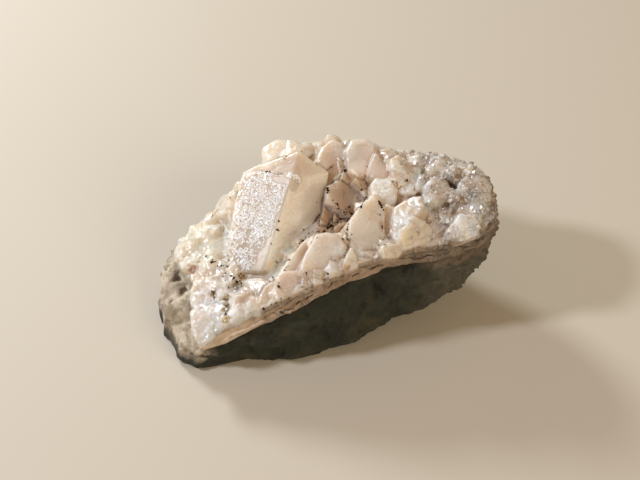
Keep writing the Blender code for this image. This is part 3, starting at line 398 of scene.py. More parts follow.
def sight_line(column, row):
    """The camera's place in millimetres, and the direction in which it sees a pixel."""
    back, right, up = camera_axes()
    focal = PHOTO_SIZE[0] * LENS / SENSOR_WIDTH
    across, down = column - PHOTO_SIZE[0] / 2, row - PHOTO_SIZE[1] / 2
    eye = SHIFT + Vector((0.0, 0.0, AIM_HEIGHT)) + back * (CAMERA_DISTANCE / MM)
    return eye, (right * (across / focal) - up * (down / focal) - back).normalized()


def rounded(vector, digits):
    """A vector with its numbers rounded."""
    return Vector([round(value, digits) for value in vector])


def face_axes():
    """Lower end of the glittering face's ridge, and directions across, up the ridge and outward."""
    out = FACE_DIRECTION.normalized()
    ends = []
    for pixel in RIDGE_PIXELS:
        eye, ray = sight_line(*pixel)
        ends.append(eye + ray * ((FACE_POINT - eye).dot(out) / ray.dot(out)))
    up = (ends[1] - ends[0]).normalized()
    return rounded(ends[0], 3), rounded(up.cross(out).normalized(), 4), rounded(up, 4), rounded(out, 4)


FACE_FOOT, FACE_ACROSS, FACE_UP, FACE_OUT = face_axes()


def surface_tree(mesh):
    """Search tree of a mesh's faces, in millimetres."""
    return BVHTree.FromPolygons([v.co / MM for v in mesh.vertices], [p.vertices for p in mesh.polygons])


def welded(node):
    """An editable copy of a solid's mesh, its corners merged."""
    bm = bmesh.new()
    bm.from_mesh(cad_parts[node].data)
    bmesh.ops.remove_doubles(bm, verts=bm.verts, dist=WELD)
    return bm


def linked_copy(node, name):
    """A separate mesh object with the shape of a solid."""
    bm = welded(node)
    bmesh.ops.recalc_face_normals(bm, faces=bm.faces)
    mesh = bpy.data.meshes.new(name)
    bm.to_mesh(mesh)
    bm.free()
    thing = bpy.data.objects.new(name, mesh)
    bpy.context.scene.collection.objects.link(thing)
    return thing


def paint(thing, material):
    """Give an object one material in place of those it has."""
    thing.data.materials.clear()
    thing.data.materials.append(material)


def evaluated(thing):
    """Put the result of an object's modifiers into a plain mesh and remove them."""
    bpy.context.view_layer.update()
    depsgraph = bpy.context.evaluated_depsgraph_get()
    mesh = bpy.data.meshes.new_from_object(thing.evaluated_get(depsgraph))
    thing.modifiers.clear()
    thing.data = mesh
    return thing


def remeshed(thing, voxel):
    """Rebuild an object's mesh from voxels, which rounds its edges by about one voxel."""
    step = thing.modifiers.new("voxels", "REMESH")
    step.mode = "VOXEL"
    step.voxel_size = voxel
    step.use_smooth_shade = True
    return evaluated(thing)


def move_along_normals(mesh, lift):
    """Move each corner along its normal by lift(point, normal), in millimetres."""
    count = len(mesh.vertices)
    places = np.empty(count * 3, np.float32)
    normals = np.empty(count * 3, np.float32)
    mesh.vertices.foreach_get("co", places)
    mesh.vertex_normals.foreach_get("vector", normals)
    places = places.reshape(-1, 3) / MM
    normals = normals.reshape(-1, 3)
    for i in range(count):
        point, normal = Vector(places[i]), Vector(normals[i])
        places[i] = lift(point, normal)
    mesh.vertices.foreach_set("co", (places * MM).astype(np.float32).ravel())
    mesh.update()


def point_values(mesh, name, values, kind="FLOAT"):
    """Store one value or colour for each corner under an attribute's name."""
    layer = mesh.attributes.new(name, kind, "POINT")
    key = "color" if kind == "FLOAT_COLOR" else "value"
    layer.data.foreach_set(key, np.asarray(values, np.float32).ravel())


def new_material(name):
    """An empty node material with its output and Principled shader."""
    material = bpy.data.materials.new(name)
    material.use_nodes = True
    tree = material.node_tree
    return material, tree, tree.nodes["Principled BSDF"]


def feed(tree, node, values):
    """Give a node's inputs, by name or number, their values: sockets or plain values."""
    for key, value in values.items():
        if isinstance(value, bpy.types.NodeSocket):
            tree.links.new(value, node.inputs[key])
        else:
            node.inputs[key].default_value = value


def mix_colour(tree, factor, first, second, blend="MIX"):
    """A colour mix node; each input is a socket or a plain value."""
    node = tree.nodes.new("ShaderNodeMix")
    node.data_type = "RGBA"
    node.blend_type = blend
    first, second = (value if isinstance(value, bpy.types.NodeSocket) else (*value, 1.0)
                     for value in (first, second))
    feed(tree, node, {0: factor, 6: first, 7: second})
    return node.outputs[2]


def noise_value(tree, vector, scale, detail=4.0, rough=0.55, distortion=0.0):
    """A noise value at a scale in lumps per metre."""
    node = tree.nodes.new("ShaderNodeTexNoise")
    feed(tree, node, {"Vector": vector, "Scale": scale, "Detail": detail, "Roughness": rough,
                      "Distortion": distortion})
    return node.outputs["Fac"]


def ranged(tree, value, low, high, out_low=0.0, out_high=1.0):
    """Map a value smoothly from one range to another."""
    node = tree.nodes.new("ShaderNodeMapRange")
    node.interpolation_type = "SMOOTHSTEP"
    feed(tree, node, {"Value": value, "From Min": low, "From Max": high, "To Min": out_low,
                      "To Max": out_high})
    return node.outputs["Result"]


def patchy(tree, vector, texture, *limits):
    """A noise value, from its scale and what follows it, mapped smoothly between limits."""
    return ranged(tree, noise_value(tree, vector, *texture), *limits)


def combined(tree, operation, *values):
    """A math node on sockets or plain values."""
    node = tree.nodes.new("ShaderNodeMath")
    node.operation = operation
    feed(tree, node, dict(enumerate(values)))
    return node.outputs[0]


def crease(tree, vector, *texture):
    """How far a noise value is from its middle, which is zero along thin, winding lines."""
    return combined(tree, "ABSOLUTE", combined(tree, "SUBTRACT", noise_value(tree, vector, *texture), 0.5))


def object_place(tree):
    """Object coordinates, in metres."""
    return tree.nodes.new("ShaderNodeTexCoord").outputs["Object"]


def attribute(tree, name, output="Fac"):
    """A named attribute of the mesh."""
    node = tree.nodes.new("ShaderNodeAttribute")
    node.attribute_name = name
    return node.outputs[output]


def bumped(tree, height, strength, distance):
    """A normal from a height value; distance is in metres."""
    node = tree.nodes.new("ShaderNodeBump")
    feed(tree, node, {"Height": height, "Strength": strength, "Distance": distance})
    return node.outputs["Normal"]


def rock_material(colours):
    """Dark green-grey rock, mottled, greyer at one end and pale tan at the other, where it is weathered and
    painted light falls on the faces turned up and left.
    """
    material, tree, shader = new_material("host rock")
    place = object_place(tree)
    patches = patchy(tree, place, (130.0, 5.0, 0.6, 0.9), 0.42, 0.62)
    ground = mix_colour(tree, patches, colours.rock, colours.rock_brown)
    dark = patchy(tree, place, (300.0, 6.0, 0.65, 0.4), 0.36, 0.64)
    ground = mix_colour(tree, dark, tuple(0.42 * c for c in colours.rock), ground)
    speck = patchy(tree, place, (1500.0, 4.0, 0.7), 0.62, 0.72, 0.0, 0.5)
    ground = mix_colour(tree, speck, ground, (0.17, 0.155, 0.115))
    vein = patchy(tree, place, (520.0, 6.0, 0.7, 1.2), 0.56, 0.72)
    grey = mix_colour(tree, vein, colours.rock_grey, (0.034, 0.034, 0.023))
    scratch = ranged(tree, crease(tree, place, 900.0, 3.0, 0.6, 1.6), 0.0, 0.02, 1.0, 0.0)
    chalk = combined(tree, "MULTIPLY", scratch, ranged(tree, patches, 0.3, 0.8))
    grey = mix_colour(tree, chalk, grey, (0.30, 0.27, 0.22))
    ground = mix_colour(tree, attribute(tree, "broken"), ground, grey)
    brown = mix_colour(tree, vein, (0.190, 0.142, 0.106), (0.076, 0.058, 0.043))
    ground = mix_colour(tree, attribute(tree, "strip"), ground, brown)
    # Pale tan of the weathered end, only on faces turned up and left: weathered stone with painted light
    blotch = patchy(tree, place, (290.0, 6.0, 0.65, 0.5), 0.34, 0.60)
    tan = mix_colour(tree, blotch, (0.270, 0.205, 0.130), colours.rock_pale)
    crumb = patchy(tree, place, (900.0, 5.0, 0.7), 0.50, 0.66, 0.0, 0.6)
    tan = mix_colour(tree, crumb, tan, (0.24, 0.19, 0.125))
    pink = patchy(tree, place, (170.0, 4.0, 0.6), 0.50, 0.66)
    tan = mix_colour(tree, pink, tan, mix_colour(tree, 0.5, tan, (0.60, 0.46, 0.38)))
    colour = mix_colour(tree, attribute(tree, "weathered_and_lit"), ground, tan)
    # Brown pits, and the painted shade around the two large ones
    colour = mix_colour(tree, attribute(tree, "pit_and_shade"), colour, (0.070, 0.042, 0.018))
    feed(tree, shader, {
        "Base Color": colour, "Roughness": ranged(tree, dark, 0.0, 1.0, 0.62, 0.88),
        "Normal": bumped(tree, noise_value(tree, place, 1900.0, 7.0, 0.7), 0.8, 0.0003)})
    return material


def band_material(colours):
    """Layers that are smooth and pale at the left, pink-beige with dark gaps further on, then brown."""
    material, tree, shader = new_material("contact band")
    place = object_place(tree)
    warp = noise_value(tree, place, 260.0, 4.0, 0.6)
    height = combined(tree, "MULTIPLY_ADD", warp, 1.1, attribute(tree, "layer"))
    tint = patchy(tree, place, (190.0, 5.0, 0.6), 0.35, 0.65)
    ground = mix_colour(tree, tint, colours.band, (0.56, 0.43, 0.34))
    grey = patchy(tree, place, (520.0, 4.0, 0.6), 0.45, 0.70)
    ground = mix_colour(tree, grey, ground, (0.24, 0.18, 0.135))
    brown = mix_colour(tree, grey, (0.275, 0.212, 0.160), (0.125, 0.098, 0.073))
    ground = mix_colour(tree, attribute(tree, "right"), ground, brown)
    gaps = patchy(tree, place, (430.0, 3.0, 0.6, 0.5), 0.40, 0.52)
    wave = combined(tree, "PINGPONG", height, 0.31)
    line = combined(tree, "MULTIPLY", ranged(tree, wave, 0.075, 0.02), gaps)
    colour = mix_colour(tree, line, ground, (0.045, 0.032, 0.022))
    lower = ranged(tree, height, 0.28, 0.70)
    colour = mix_colour(tree, lower, (0.085, 0.070, 0.052), colour)
    pale = mix_colour(tree, tint, (0.76, 0.58, 0.43), (0.84, 0.71, 0.58))
    pale = mix_colour(tree, grey, pale, (0.52, 0.39, 0.29))
    colour = mix_colour(tree, attribute(tree, "left"), colour, pale)
    tan = mix_colour(tree, tint, (0.24, 0.19, 0.13), (0.46, 0.39, 0.29))
    colour = mix_colour(tree, attribute(tree, "tan"), colour, tan)
    feed(tree, shader, {
        "Base Color": colour, "Roughness": 0.7,
        "Normal": bumped(tree, noise_value(tree, place, 2200.0, 5.0, 0.7), 0.5, 0.0002)})
    return material


def calcite_material(name, deep):
    """Cloudy calcite: light enters it to a depth in metres, and its faces are satin to glassy."""
    material, tree, shader = new_material(name)
    place = object_place(tree)
    stone = attribute(tree, "stone", "Color")
    facet, relief, rim, cleft, sugar, frost_and_glint, foot, dull = (
        attribute(tree, key)
        for key in ("facet", "relief", "rim", "cleft", "sugar", "frost_and_glint", "foot", "dull"))

    # Clouds and veils inside the stone
    patch = patchy(tree, place, (210.0, 6.0, 0.62, 0.8), 0.36, 0.70)
    wisp = patchy(tree, place, (800.0, 5.0, 0.7, 1.8), 0.52, 0.74)
    fold = crease(tree, place, 330.0, 2.0, 0.5, 1.2)
    veil = combined(tree, "MULTIPLY", ranged(tree, fold, 0.0, 0.012, 0.45, 0.0), patch)
    colour = mix_colour(tree, facet, stone, (1.17, 1.18, 1.18), "MULTIPLY")
    colour = mix_colour(tree, patch, colour, (1.10, 1.11, 1.13), "MULTIPLY")
    colour = mix_colour(tree, wisp, colour, (1.14, 1.16, 1.17), "MULTIPLY")
    colour = mix_colour(tree, veil, colour, (0.93, 0.91, 0.88))

    # Brown and glinting spots of the sugary end
    brown = patchy(tree, place, (560.0, 5.0, 0.65, 0.8), 0.52, 0.66, 0.0, 0.75)
    brown = combined(tree, "MULTIPLY", sugar, brown)
    glints = combined(tree, "MULTIPLY", sugar, patchy(tree, place, (1400.0, 3.0, 0.6), 0.58, 0.68))
    colour = mix_colour(tree, brown, colour, (0.25, 0.200, 0.165))
    colour = mix_colour(tree, glints, colour, (0.95, 0.89, 0.84))

    # Painted warm shade near the seams, brown dirt darkened further as painted shade towards them, and dark
    # lines along them
    warm_crease_shade = combined(tree, "MULTIPLY", ranged(tree, cleft, 0.35, 1.10, 1.0, 0.0),
                    ranged(tree, sugar, 0.0, 0.8, 1.0, 0.0))
    reach = combined(tree, "MULTIPLY_ADD", noise_value(tree, place, 420.0, 4.0, 0.7), -1.5, cleft)
    dirt_and_shade = ranged(tree, reach, -0.78, -0.38, 0.85, 0.0)
    line = ranged(tree, reach, -1.00, -0.80, 0.90, 0.0)
    colour = mix_colour(tree, warm_crease_shade, colour, (0.980, 0.945, 0.895), "MULTIPLY")
    colour = mix_colour(tree, dirt_and_shade, colour, (0.20, 0.120, 0.062))
    colour = mix_colour(tree, line, colour, (0.045, 0.026, 0.014))

    # Painted highlight along the one ridge that catches the light, and frost whitened with painted glints
    rim_highlight = ranged(tree, rim, 0.03, 0.15, 0.60, 0.0)
    glint_flakes = patchy(tree, place, (1500.0, 4.0, 0.6, 1.0), 0.38, 0.60, 0.35, 0.95)
    glint_flakes = combined(tree, "MULTIPLY", glint_flakes, frost_and_glint)
    colour = mix_colour(tree, rim_highlight, colour, (0.95, 0.89, 0.80))
    colour = mix_colour(tree, glint_flakes, colour, (0.96, 0.92, 0.87))

    # Glittering face: the ground between its flakes, then a painted white glitter highlight on the flakes'
    # tops
    inside = ranged(tree, relief, -0.9, -0.1, 0.0, 0.55)
    dashes = patchy(tree, place, (2200.0, 3.0, 0.6, 0.9), 0.32, 0.48, 0.35, 1.0)
    glitter_tops = combined(tree, "MULTIPLY", dashes, ranged(tree, relief, 0.1, 0.7))
    colour = mix_colour(tree, inside, colour, (0.46, 0.35, 0.25))
    colour = mix_colour(tree, glitter_tops, colour, (0.98, 0.97, 0.96))

    # Crumbly foot of the crust, darker under the sugary end
    matrix = patchy(tree, place, (700.0, 5.0, 0.7), 0.35, 0.70)
    crumb = mix_colour(tree, matrix, (0.30, 0.215, 0.155), (0.60, 0.47, 0.37))
    dark_crumb = mix_colour(tree, matrix, (0.085, 0.060, 0.048), (0.26, 0.190, 0.165))
    colour = mix_colour(tree, foot, colour, mix_colour(tree, sugar, crumb, dark_crumb))

    rough = mix_colour(tree, facet, (0.20,) * 3, (0.44,) * 3)
    grain = patchy(tree, place, (900.0, 5.0, 0.6), 0.35, 0.65, -0.05, 0.10)
    rough = mix_colour(tree, 1.0, rough, grain, "ADD")
    for share, value in ((frost_and_glint, 0.24), (glints, 0.16), (ranged(tree, relief, -0.9, -0.1), 0.55),
                         (glitter_tops, 0.20), (foot, 0.65), (dull, 0.70)):
        rough = mix_colour(tree, share, rough, (value,) * 3)

    squashed = tree.nodes.new("ShaderNodeVectorMath")
    squashed.operation = "MULTIPLY"
    squashed.inputs[1].default_value = (0.18, 0.18, 1.0)
    tree.links.new(place, squashed.inputs[0])
    lines = noise_value(tree, squashed.outputs["Vector"], 2400.0, 3.0, 0.6)
    uneven = noise_value(tree, place, 1500.0, 6.0, 0.65, 0.5)
    height = combined(tree, "MULTIPLY_ADD", lines, 0.6, uneven)
    height = combined(tree, "MULTIPLY_ADD", glitter_tops, 0.4, height)
    feed(tree, shader, {
        "Base Color": colour, "Roughness": rough, "IOR": 1.58, "Transmission Weight": 0.08,
        "Subsurface Weight": 1.0, "Subsurface Radius": (1.0, 0.82, 0.66), "Subsurface Scale": deep,
        "Normal": bumped(tree, height, 0.25, 0.0002)})
    return material


def grain_material(colours):
    """Dark brown to golden grains with a dull metallic shine."""
    material, tree, shader = new_material("grains")
    gold = patchy(tree, object_place(tree), (900.0, 2.0, 0.5), 0.45, 0.65)
    colour = mix_colour(tree, gold, tuple(0.3 * c for c in colours.grain), colours.grain)
    feed(tree, shader, {"Base Color": colour, "Metallic": 0.25, "Roughness": 0.60,
                        "Specular IOR Level": 0.10})
    return material


def crust_colour(point, level):
    """Colour of the crust at a place in millimetres, from its zones and stains, some of them painted light
    and shade; level faces get a painted warmth that offsets the cool lamps on them.
    """
    wander = point + 1.2 * noise.noise_vector(point / 3.0)
    total = np.array(PLAIN_CALCITE) * 0.25
    weight = 0.25
    for centre, reach, colour in ZONES:
        share = math.exp(-2.2 * ((wander - Vector(centre)).length / reach) ** 2)
        total = total + share * np.array(colour)
        weight += share
    colour = total / weight
    for centre, reach, stain in STAINS:
        share = 1.0 - (point + 0.8 * noise.noise_vector(point / 0.8) - Vector(centre)).length / reach
        if share > 0.0:
            colour += (np.array(stain) - colour) * soft(share, 0.0, 0.5)
    colour *= 1.0 - soft(level, 0.70, 1.0) * np.array(PAINTED_TOP_WARMTH)
    return (*colour, 1.0)


def frost_and_glint_share(point):
    """How finely frosted a place of the crust in millimetres is, and how strongly whitened with painted
    glints, from 0 to 1.
    """
    away = point + 0.9 * noise.noise_vector(point / 1.3)
    return max(soft(1.0 - (away - Vector(centre)).length / reach, 0.0, 0.45) for centre, reach in FROST_AND_GLINTS)


class CALCITE_OT_host_rock(bpy.types.Operator):
    """Make the rough wedge of host rock"""

    bl_idname = "calcite.host_rock"
    bl_label = "Host rock"

    def execute(self, context):
        sizes = context.scene.calcite_sizes
        rock = remeshed(linked_copy("host_rock", "rough_host_rock"), sizes.rock_voxel)

        def lift(point, normal):
            if point.z < 0.05:
                return point
            near = soft(point.z, 0.0, 2.5)
            under = bed(point.x, point.y) - point.z
            side = soft(1.0 - abs(normal.z), 0.05, 0.5)
            end = soft(point.x, 17.0, 25.0)
            layered = Vector((point.x, point.y, 2.4 * (point.z - 0.35 * point.x)))
            out = 0.40 * noise.fractal(point / 4.0, 0.8, 2.1, 4)
            out += facet_lift(point, 3.2, 0.10, 4.0) + facet_lift(point, 0.8, 0.22, 2.0)
            out += (0.08 + 0.20 * end) * facet_lift(layered, 1.7, 1.0, 1.0)
            out += 0.05 * noise.noise(point / 0.5)
            out = max(-0.9, min(0.7, out * (0.5 + 0.5 * side)))
            out -= 0.8 * pit_share(point)
            moved = point + normal * out * near
            if normal.z > 0.5 and under < 1.2:
                moved.z += 0.25 + 0.95 * soft(-point.x, 22.0, 25.0) * soft(point.y, -9.0, -6.0)
            moved.z = max(0.0, moved.z)
            return moved

        move_along_normals(rock.data, lift)
        centre, reach, strength = PIT_SHADE
        weathered_and_lit, broken, pits_and_shade, strip = [], [], [], []
        for vertex, normal in zip(rock.data.vertices, rock.data.vertex_normals):
            p = vertex.co / MM
            # Faces turned up and left, towards the lamp, get the pale tan: weathering with painted light
            turned_to_lamp = soft(normal.vector.z - 0.5 * normal.vector.x, -0.1, 0.4)
            bare = soft(-p.x, 24.0, 28.0) * soft(p.z + 1.2 * noise.noise(p / 2.0), 1.4, 4.2)
            weathered_and_lit.append(bare * turned_to_lamp)
            broken.append(soft(p.x + 2.0 * noise.noise(p / 3.0), 13.0, 21.0))
            # Brown pits, and the painted shade around the two large ones
            pits_and_shade.append(max(pit_share(p), strength * nearness(p, centre, reach)))
            under = bed(p.x, p.y) - p.z + 0.9 * noise.noise(p / 1.4)
            strip.append(soft(1.9 - under, 0.0, 1.0) * soft(p.x, 14.0, 20.0))
        point_values(rock.data, "weathered_and_lit", weathered_and_lit)
        point_values(rock.data, "broken", broken)
        point_values(rock.data, "pit_and_shade", pits_and_shade)
        point_values(rock.data, "strip", strip)
        paint(rock, rock_material(context.scene.calcite_colours))
        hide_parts("host_rock")
        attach(rock, "root")
        return {"FINISHED"}


class CALCITE_OT_contact_band(bpy.types.Operator):
    """Make the layered band between rock and crystals"""

    bl_idname = "calcite.contact_band"
    bl_label = "Contact band"

    def execute(self, context):
        sizes = context.scene.calcite_sizes
        band = remeshed(linked_copy("contact_band", "layered_contact_band"), sizes.band_voxel)
        layers = []

        def lift(point, normal):
            height = (point.z - bed(point.x, point.y)) / 2.6
            layers.append(height)
            side = soft(1.0 - abs(normal.z), 0.1, 0.7)
            flat = Vector((point.x, point.y, 3.0 * (point.z - bed(point.x, point.y))))
            calm = 1.0 - 0.8 * soft(-point.x, 12.0, 18.0)
            torn = Vector((point.x / 2.6, point.y / 2.6, 1.5 * height))
            out = facet_lift(flat, 2.2, 0.24, 3.0) + 0.10 * noise.fractal(point / 0.6, 0.7, 2.1, 4)
            out += 0.34 * soft(noise.noise(torn), -0.15, 0.15) - 0.17
            moved = point + normal * side * calm * max(-0.5, min(0.5, out))
            moved.z -= 0.75 * soft(0.5 - height, 0.0, 0.4)
            moved.z -= 1.1 * soft(-point.x, 20.0, 24.0) * soft(point.y, -10.0, -7.0)
            return moved

        move_along_normals(band.data, lift)
        point_values(band.data, "layer", layers)
        across, along = mesh_points(band.data)[:, :2].T
        front = np.clip((-along - 9.0) / 3.0, 0.0, 1.0)
        point_values(band.data, "left", front * np.clip((-across - 13.0) / 5.0, 0.0, 1.0))
        point_values(band.data, "tan", (1.0 - front) * np.clip((-across - 16.0) / 5.0, 0.0, 1.0))
        point_values(band.data, "right", np.clip((across - 7.0) / 12.0, 0.0, 1.0))
        paint(band, band_material(context.scene.calcite_colours))
        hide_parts("contact_band")
        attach(band, "root")
        return {"FINISHED"}


def outline_depth(outline, across, up):
    """How far inside an outline each place lies, in millimetres; negative outside it."""
    nearest = np.full(across.shape, 1e9)
    inside = np.zeros(across.shape, bool)
    for (x0, y0), (x1, y1) in zip(outline, outline[1:] + outline[:1]):
        dx, dy = x1 - x0, y1 - y0
        share = np.clip(((across - x0) * dx + (up - y0) * dy) / (dx * dx + dy * dy), 0.0, 1.0)
        nearest = np.minimum(nearest, np.hypot(across - x0 - share * dx, up - y0 - share * dy))
        if dy != 0.0:
            crosses = ((y0 > up) != (y1 > up)) & (across < dx * (up - y0) / dy + x0)
            inside ^= crosses
    return np.where(inside, nearest, -nearest)


def relief_depth(points):
    """How far inside the glittering relief each point in millimetres lies."""
    away = points - np.array(FACE_FOOT)
    across = away @ np.array(FACE_ACROSS)
    up = away @ np.array(FACE_UP)
    out = away @ np.array(FACE_OUT)
    depth = np.minimum(outline_depth(RELIEF_OUTLINE, across, up),
                       -outline_depth(RELIEF_NOTCH, across, up))
    patch = outline_depth(RELIEF_PATCH, across, up)
    beside = np.where((np.abs(out) < 0.25) & (across < 0.0), np.maximum(depth, -1.9), -9.0)
    depth = np.maximum(np.where(depth > -1.9, beside, -9.0),
                       np.where(np.abs(out) < 1.5, patch, -9.0))
    return depth, across, up


def line_distance(place, start, end):
    """How far a place is from a straight line between two ends."""
    share = (place - start).dot(end - start) / (end - start).length_squared
    return (place - start.lerp(end, min(1.0, max(0.0, share)))).length


def plainness(place):
    """How near a place is to the smooth foot of the large crystal, from 0 to 1."""
    return math.exp(-(line_distance(place, *SMOOTH_FOOT) / 1.4) ** 2)


def crack_distance(across, up):
    """How far a place on the glittering face's plane is from its crack, in millimetres."""
    place = Vector((across, up))
    return min(line_distance(place, Vector(start), Vector(end)) for start, end in zip(CRACK, CRACK[1:]))


def mesh_points(mesh):
    """All corners of a mesh, in millimetres."""
    places = np.empty(len(mesh.vertices) * 3, np.float32)
    mesh.vertices.foreach_get("co", places)
    return places.reshape(-1, 3).astype(float) / MM


def sharp_edges(ridges):
    """Ends, in millimetres, of the crystals' sharp edges: their ridges, or the seams between them."""
    bm = welded("calcite_crystals")
    found = []
    for edge in bm.edges:
        if len(edge.link_faces) != 2 or edge.is_convex != ridges:
            continue
        first, second = edge.link_faces
        if first.normal.dot(second.normal) < 0.955 and (first.normal + second.normal).z > -0.2:
            found.append((edge.verts[0].co / MM, edge.verts[1].co / MM))
    bm.free()
    return found


def edge_tree(edges):
    """Search tree of evenly spaced places along edges."""
    places = []
    for a, b in edges:
        steps = max(1, round((b - a).length / EDGE_STEP))
        places += [a.lerp(b, (k + 0.5) / steps) for k in range(steps)]
    tree = KDTree(len(places))
    for number, place in enumerate(places):
        tree.insert(place, number)
    tree.balance()
    return tree


def softened(mesh, share, rounds):
    """Smooth a mesh, each corner by its own share, over a number of rounds."""
    ends = np.empty(len(mesh.edges) * 2, np.int32)
    mesh.edges.foreach_get("vertices", ends)
    first, second = ends.reshape(-1, 2).T
    places = mesh_points(mesh)
    count = len(places)
    degree = np.bincount(first, minlength=count) + np.bincount(second, minlength=count)
    for _ in range(rounds):
        total = np.empty_like(places)
        for axis in range(3):
            value = places[:, axis]
            total[:, axis] = (np.bincount(first, value[second], count)
                              + np.bincount(second, value[first], count))
        places += share[:, None] * (total / degree[:, None] - places)
    mesh.vertices.foreach_set("co", (places * MM).astype(np.float32).ravel())
    mesh.update()


def flatten_underside(mesh):
    """Merge the small faces of the crust's hidden underside, where it grows from the band."""
    bm = bmesh.new()
    bm.from_mesh(mesh)
    under = {vertex for vertex in bm.verts if vertex.normal.z < -0.6}
    inner = [vertex for vertex in under
             if all(edge.other_vert(vertex) in under for edge in vertex.link_edges)]
    edges = [edge for edge in bm.edges if edge.verts[0] in under and edge.verts[1] in under]
    bmesh.ops.dissolve_limit(bm, angle_limit=math.radians(9.0), verts=inner, edges=edges)
    bmesh.ops.triangulate(bm, faces=[face for face in bm.faces if len(face.verts) > 4])
    bm.to_mesh(mesh)
    bm.free()


def refine_relief(mesh):
    """Halve the mesh's edges where the relief lies."""
    depth = relief_depth(mesh_points(mesh))[0]
    bm = bmesh.new()
    bm.from_mesh(mesh)
    bm.verts.ensure_lookup_table()
    chosen = {vertex for vertex in bm.verts if depth[vertex.index] > -0.3}
    edges = [edge for edge in bm.edges if edge.verts[0] in chosen and edge.verts[1] in chosen]
    bmesh.ops.subdivide_edges(bm, edges=edges, cuts=1, use_grid_fill=True)
    bm.to_mesh(mesh)
    bm.free()


class CALCITE_OT_crystals(bpy.types.Operator):
    """Make the crust of crystals, with its glittering face and finely broken right end"""

    bl_idname = "calcite.crystals"
    bl_label = "Crystals"

    def execute(self, context):
        sizes = context.scene.calcite_sizes
        crust = remeshed(linked_copy("calcite_crystals", "calcite_crust"), sizes.crust_voxel)
        refine_relief(crust.data)
        soft_share = []
        for x, y, z in mesh_points(crust.data) - np.array(SHIFT):
            left = soft(-x - 0.5 * y, 12.0, 19.0)
            behind = soft(y + 0.35 * x, 9.0, 13.0) * soft(14.0 - x, 0.0, 4.0)
            soft_share.append(0.04 + 0.46 * max(left, behind))
        depth = relief_depth(mesh_points(crust.data))[0]
        softened(crust.data, np.where(depth > -0.2, 0.0, np.array(soft_share)), 10)
        spots = mesh_points(crust.data)
        lumpy = np.clip((-spots[:, 0] - 0.4 * spots[:, 1] - 21.0) / 4.0, 0.0, 1.0)
        joined = [plainness(Vector(spot)) for spot in spots]
        softened(crust.data, 0.5 * np.where(depth > -0.2, 0.0, np.maximum(lumpy, joined)), 24)
        ridges, seams = edge_tree(sharp_edges(True)), edge_tree(sharp_edges(False))
        faces = surface_tree(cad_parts["calcite_crystals"].data)
        depth, across, up = relief_depth(mesh_points(crust.data))
        tall = sizes.relief_height / MM
        values = {name: [] for name in CRUST_VALUES}
        place = iter(range(len(depth)))

        def lift(point, normal):
            i = next(place)
            rim, cleft = ridges.find(point)[2], seams.find(point)[2]
            face, plane = faces.find_nearest(point)[:2]
            blunt = soft_share[i]
            tone = noise.cell(plane * 9.7 + Vector((0.31, 0.57, 0.13)) * round(2.0 * plane.dot(face)))
            fine = soft(point.x + 2.5 * noise.noise(point / 4.0), 14.0, 23.0)
            fine *= 0.35 + 0.65 * soft(noise.noise(point / 2.6 + Vector((4.0, 0.0, 9.0))), -0.25, 0.25)
            fine *= 1.0 - 0.8 * nearness(point, *SMOOTH_CORNER)
            above = point.z - bed(point.x, point.y)
            foot = soft(5.0 - above, 0.0, 0.9) * soft(0.75 - normal.z, 0.0, 0.3)
            foot *= (1.0 - 0.8 * soft(-point.x, 12.0, 18.0)) * (1.0 - plainness(point))
            relief = 0.0
            frost_and_glint = frost_and_glint_share(point) if normal.z > -0.2 else 0.0
            near = nearness(point, *HOLLOW_DIRT_AND_SHADE)
            plain = soft(line_distance(point, FACE_FOOT, FACE_FOOT + 20.0 * FACE_UP), 7.5, 9.0)
            plain *= (1.0 - 0.8 * near) * (1.0 - 1.2 * blunt)
            lump = soft(-point.x - 0.4 * point.y, 19.0, 25.0)
            out = 0.022 * noise.fractal(point / 1.3, 0.8, 2.0, 3)
            out += plain * (facet_lift(point, 2.9, 0.13, 9.0) + 0.3 * facet_lift(point, 0.9, 0.14, 8.0))
            out += lump * (facet_lift(point, 1.7, 0.20, 3.0)
                           + 0.16 * noise.fractal(point / 1.6, 0.8, 2.0, 3))
            out += fine * (facet_lift(point, 1.5, 0.40, 5.0) + facet_lift(point, 0.65, 0.34, 6.0))
            out += frost_and_glint * facet_lift(point, 0.62, 0.16, 7.0)
            out += 0.10 * foot * noise.fractal(point / 0.7, 0.8, 2.0, 3)
            if -1.2 < depth[i] and up[i] > 17.0:
                gap = crack_distance(across[i], up[i])
                out -= 0.14 * soft(0.22 - gap, 0.0, 0.16)
                cleft = min(cleft, 2.0 * gap)
            if depth[i] > 0.0:
                tilted, whole = growth_flake(Vector((across[i], up[i], 0.0)))
                edge = soft(depth[i], 0.0, 0.2)
                relief = edge * whole
                out = tall * relief + edge * tilted
            join = plainness(point)
            point = point.lerp(face, soft(0.16 - blunt, 0.0, 0.12) * (1.0 - lump) * (1.0 - join))
            rim, cleft = rim + 2.0 * join, cleft + 0.4 * join
            values["sugar"].append(fine if normal.z > -0.2 else 0.0)
            values["stone"].append(crust_colour(point, normal.z))
            # The rim value stays small only near the bright ridge, where the painted highlight shows
            values["rim"].append(min(3.0, rim + max(0.0, line_distance(point, *BRIGHT_RIDGE) - 0.6)))
            # Seam dirt and painted shade reach further into the hollow
            cleft += 0.15 + 0.2 * max(2.0 * blunt, lump, fine) - 0.40 * near
            values["cleft"].append(min(3.0, cleft))
            values["facet"].append(tone)
            values["relief"].append(relief if depth[i] > 0.0 else -0.5 if depth[i] > -1.8 else -1.0)
            values["foot"].append(foot)
            values["frost_and_glint"].append(frost_and_glint)
            values["dull"].append(soft(near, 0.5, 0.85))
            if normal.z < -0.3:
                return point + Vector((0.0, 0.0, -0.55))
            return point + normal * max(-0.35 - 0.2 * fine, min(0.30 + 0.1 * fine, out))

